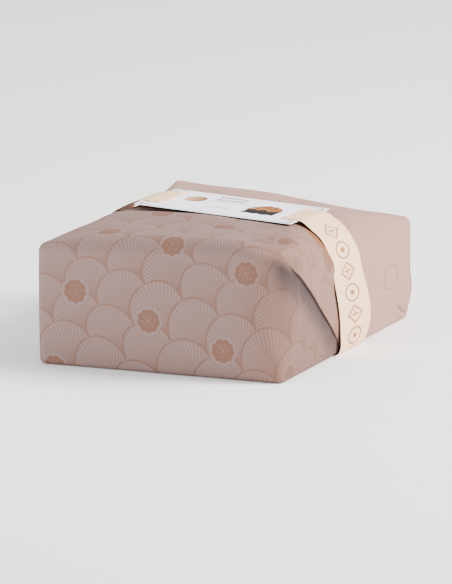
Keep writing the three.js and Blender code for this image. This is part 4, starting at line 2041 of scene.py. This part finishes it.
@dataclass(frozen=True)
class CardPrint:
    """The card's face: white board with a foil disc, fine rules, plain strokes and a small cake."""

    board: Colour = (0.86, 0.88, 0.99)
    foil: Colour = (0.30, 0.125, 0.06)
    # Painted reflection: the light copper at one side of the foil disc's painted gradient.
    foil_painted_glint: Colour = (0.72, 0.40, 0.24)
    ink: Colour = (0.17, 0.10, 0.085)
    strength: float = 0.9
    rule_ink: Colour = (0.50, 0.22, 0.14)
    dark: Colour = (0.035, 0.03, 0.03)
    crust: Colour = (0.22, 0.075, 0.025)
    sugar: Colour = (0.62, 0.38, 0.20)
    form: CardForm = CardForm()
    rule_half: Pair = (73.0, 43.5)
    rule_step: float = 4.6
    rule_dash: Pair = (0.55, 0.7)
    rule_gap: float = 0.35
    rule_line: Pair = (0.5, 1.2)
    bracket_half: Pair = (77.0, 48.0)
    bracket_line: Pair = (0.8, 1.6)
    bracket_start: Pair = (64.0, 37.0)
    cake_middle: float = 36.5
    cake_half: float = 17.5
    mould_place: Pair = (-10.5, 12.0)
    dome_place: Pair = (-5.0, 31.0)
    dome_foot: float = -1.0
    dome_edge: Pair = (0.95, 1.03)
    dome_wobble: Grain = Grain(5.0, 0.25)
    mould_edge: Pair = (0.9, 0.96)
    pleat_turn: float = 0.55
    pleat_height: float = 2.2
    specks: Grain = Grain(2.6, 1.0, 3.0, 0.7)
    speck_rise: Pair = (0.02, 0.12)
    disc_place: Pair = (-41.0, 15.0)
    disc_half: Pair = (10.5, 16.5)
    disc_edge: Pair = (0.96, 1.03)
    painted_gleam: Grain = Grain(9.0, 0.9, 2.0)
    painted_gleam_half: float = 0.9
    foil_metal: float = 0.3
    foil_roughness: float = 0.28
    board_roughness: float = 0.42
    blotches: Grain = Grain(0.8, 0.02)
    fibres: Grain = Grain(0.8, 1.0, 4.0)
    fibre_relief: Pair = (0.05, 0.25)
    rows: tuple[StrokeRow, ...] = (
        StrokeRow((-9.5, 40.5), (15.0, 4.6), 4.1),
        StrokeRow((-8.5, 27.0), (16.5, 4.6), 4.7),
        StrokeRow((-3.0, 15.5), (23.0, 1.9), 2.6),
        StrokeRow((-5.0, -14.0), (12.0, 4.0), 3.3, 0.6),
    )

    def _beside(self, x: Field, y: Field, half: Pair) -> Field:
        """How far a place lies outside an upright frame round the card's middle."""
        middle_x, middle_y, _ = self.form.middle
        return ((x - middle_x).abs() - half[0]).most((y - middle_y).abs() - half[1])

    def _rule(self, x: Field, y: Field) -> Field:
        """Prints a thin dashed rule round the card.

        Args:
            x: The place across the card.
            y: The place along its depth.

        Returns:
            The share of ink.
        """
        dash = ((x + y) / self.rule_step).fract().fade(*self.rule_dash, 1.0, self.rule_gap)
        return self._beside(x, y, self.rule_half).abs().fade(*self.rule_line) * dash

    def _brackets(self, x: Field, y: Field) -> Field:
        """Prints a short dark bracket in each corner of the card.

        Args:
            x: The place across the card.
            y: The place along its depth.

        Returns:
            The share of ink.
        """
        middle_x, middle_y, _ = self.form.middle
        start_x, start_y = self.bracket_start
        near = (x - middle_x).abs().fade(start_x, start_x + 1.0, 0.0, 1.0)
        near = near * (y - middle_y).abs().fade(start_y, start_y + 1.0, 0.0, 1.0)
        return self._beside(x, y, self.bracket_half).abs().fade(*self.bracket_line) * near

    def _cake(self, canvas: Canvas, x: Field, y: Field, colour: Paint) -> bpy.types.NodeSocket:
        """Prints a small domed cake in a dark pleated mould, seen from its side.

        Args:
            canvas: The material being built.
            x: The place across the card.
            y: The place along its depth.
            colour: The colour so far.

        Returns:
            The colour with the cake over it.
        """
        mould_middle, mould_half = self.mould_place
        dome_middle, dome_height = self.dome_place
        across = (x - self.cake_middle) / self.cake_half
        pleats = (x * self.pleat_turn).sin() * self.pleat_height
        rim = (y - mould_middle - pleats * 0.5).abs().fade(mould_half - 0.8, mould_half + 0.8)
        mould = across.abs().fade(*self.mould_edge) * rim
        dome = across.length((y - dome_middle) / dome_height) + canvas.grain(self.dome_wobble)
        above = (y - self.dome_foot - pleats).fade(-0.6, 0.6, 0.0, 1.0)
        crown = dome.fade(*self.dome_edge) * above
        colour = canvas.blend(mould, colour, self.dark)
        speck = canvas.grain(self.specks).fade(*self.speck_rise, 0.0, 1.0)
        return canvas.blend(crown, colour, canvas.blend(speck, self.crust, self.sugar))

    def material(self) -> bpy.types.Material:
        """Makes the material.

        Returns:
            The material.
        """
        canvas = Canvas("label_card_board")
        x, y, _ = canvas.place()
        across = (x - self.disc_place[0]) / self.disc_half[0]
        disc = across.length((y - self.disc_place[1]) / self.disc_half[1]).fade(*self.disc_edge)
        # Painted reflection: the foil disc is painted from light copper on its left to dark copper
        # on its right, with a noisy edge.
        painted_gleam = (across + canvas.grain(self.painted_gleam)).fade(-self.painted_gleam_half, self.painted_gleam_half)
        marks = self._brackets(x, y)
        for row in self.rows:
            marks = marks.most(row.ink(x, y))
        colour = canvas.blend(self._rule(x, y), self.board, self.rule_ink)
        colour = canvas.blend(marks * self.strength, colour, self.ink)
        colour = self._cake(canvas, x, y, colour)
        colour = canvas.blend(disc, colour, canvas.blend(painted_gleam, self.foil, self.foil_painted_glint))
        canvas.paint(canvas.shade(colour, canvas.grain(self.blotches)))
        canvas.metal(disc * self.foil_metal)
        canvas.rough(disc.pick(self.foil_roughness, self.board_roughness))
        canvas.constants(Specular_IOR_Level=0.0)
        canvas.relief(canvas.grain(self.fibres), *self.fibre_relief)
        return canvas.material


@dataclass(frozen=True)
class FloorFinish:
    """A plain pale floor."""

    colour: Colour = (0.95, 0.95, 0.95)

    def material(self) -> bpy.types.Material:
        """Makes the material.

        Returns:
            The material.
        """
        canvas = Canvas("studio_floor")
        canvas.paint(self.colour)
        canvas.constants(Roughness=0.9, Specular_IOR_Level=0.1)
        return canvas.material


# ---- the studio --------------------------------------------------------------------------------
@dataclass(frozen=True)
class Lamp:
    """A square soft lamp that looks at the pack."""

    name: str
    place: Point
    size: float
    power: float
    colour: Colour = (1.0, 1.0, 1.0)

    def build(self, target: Vector) -> None:
        """Makes the lamp.

        Args:
            target: Where it looks.
        """
        data = bpy.data.lights.new(self.name, "AREA")
        data.shape = "SQUARE"
        data.size = self.size
        data.energy = self.power
        data.color = self.colour
        made = bpy.data.objects.new(self.name, data)
        made.location = self.place
        made.rotation_euler = (target - Vector(self.place)).to_track_quat("-Z", "Y").to_euler()
        bpy.context.scene.collection.objects.link(made)


@dataclass(frozen=True)
class Studio:
    """The floor, the soft light and the camera."""

    azimuth: float = 22.086
    elevation: float = 11.214
    distance: float = 4.86404
    aim: Point = (0.0, 0.0, 0.060)
    aim_right: float = -0.00327
    aim_up: float = -0.01177
    lens: float = 308.2
    sky: float = 1.4
    sky_colour: Colour = (0.96, 0.98, 1.0)
    floor_half: float = 20000.0
    floor_drop: float = 0.05
    lamps: tuple[Lamp, ...] = (
        Lamp("key", (2.9, 0.9, 2.1), 1.6, 400.0, (1.0, 0.935, 0.88)),
        Lamp("front_fill", (-0.62, -0.72, 0.03), 0.35, 8.5, (0.98, 0.985, 1.0)),
    )

    def _world(self) -> None:
        """Lights the scene evenly from all round."""
        world = bpy.data.worlds.new("studio_sky")
        world.use_nodes = True
        node = world.node_tree.nodes["Background"]
        node.inputs["Color"].default_value = (*self.sky_colour, 1.0)
        node.inputs["Strength"].default_value = self.sky
        bpy.context.scene.world = world

    def _floor(self) -> None:
        """Lays the floor just under the pack."""
        half, height = self.floor_half, -self.floor_drop
        around = [(-half, -half), (half, -half), (half, half), (-half, half)]
        corners = np.array([(x, y, height) for x, y in around])
        plan = MeshPlan(corners, [np.array([[0, 1, 2, 3]])])
        plan.build("studio_floor", [FloorFinish().material()])

    def _camera(self) -> None:
        """Sets the camera where the picture was taken from."""
        a, e = math.radians(self.azimuth), math.radians(self.elevation)
        back = Vector((math.sin(a) * math.cos(e), -math.cos(a) * math.cos(e), math.sin(e)))
        right = Vector((math.cos(a), math.sin(a), 0.0))
        up = back.cross(right)
        aim = Vector(self.aim) + right * self.aim_right + up * self.aim_up
        data = bpy.data.cameras.new("camera")
        data.lens = self.lens
        data.clip_end = 60.0
        made = bpy.data.objects.new("camera", data)
        made.location = aim + back * self.distance
        made.rotation_euler = (-back).to_track_quat("-Z", "Y").to_euler()
        bpy.context.scene.collection.objects.link(made)
        bpy.context.scene.camera = made

    def build(self) -> None:
        """Makes the whole studio."""
        self._world()
        self._floor()
        for lamp in self.lamps:
            lamp.build(Vector(self.aim))
        self._camera()


def side_creases() -> list[Crease]:
    """Lists the small creases and swellings in the paper, most of them on both long sides.

    Returns:
        The creases.
    """
    found = [
        Crease((-86, -66, 125), (34, -66, 130), -4.4, 22.0),
        Crease((126, -140, 101), (107, -130, 122), 4.2, 9.0),
        Crease((110, -131, 120), (72, -140, 128), 3.0, 11.0),
        Crease((118, 60, 112), (100, 92, 118), 1.1, 9.0),
        Crease((60, 70, 122), (108, 140, 108), -1.2, 12.0),
    ]
    for sign in (1.0, -1.0):
        x = sign * 126.0
        found += [
            Crease((x, *LOW_CREASE[0]), (x, *LOW_CREASE[1]), 1.8, 1.7),
            Crease((x, 132, 13.0), (x, 165, -1.0), -1.3, 3.5),
            Crease((x, 149, 94.0), (x, 172, 87.0), 1.2, 1.8),
            Crease((x, 107, 2.0), (x, 172, 50.0), 0.5, 3.5),
        ]
    return found


def main() -> None:
    """Builds the pack, the band, the card and the studio, in that order."""
    logging.basicConfig(level=logging.INFO, format="%(name)s %(message)s")
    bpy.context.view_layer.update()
    form, card = PackForm(), CardForm()
    pack = WrappedPack(form, FlapForm(), PackFineness(), Ripples(), side_creases())
    pack.build(WrappingPaper().material())
    BellyBand(BandForm(), card).build(BandPaper().material(), BandLining().material())
    LabelCard(card, form.band).build(CardPrint().material())
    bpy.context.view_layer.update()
    Studio().build()


if __name__ == "__main__":
    main()
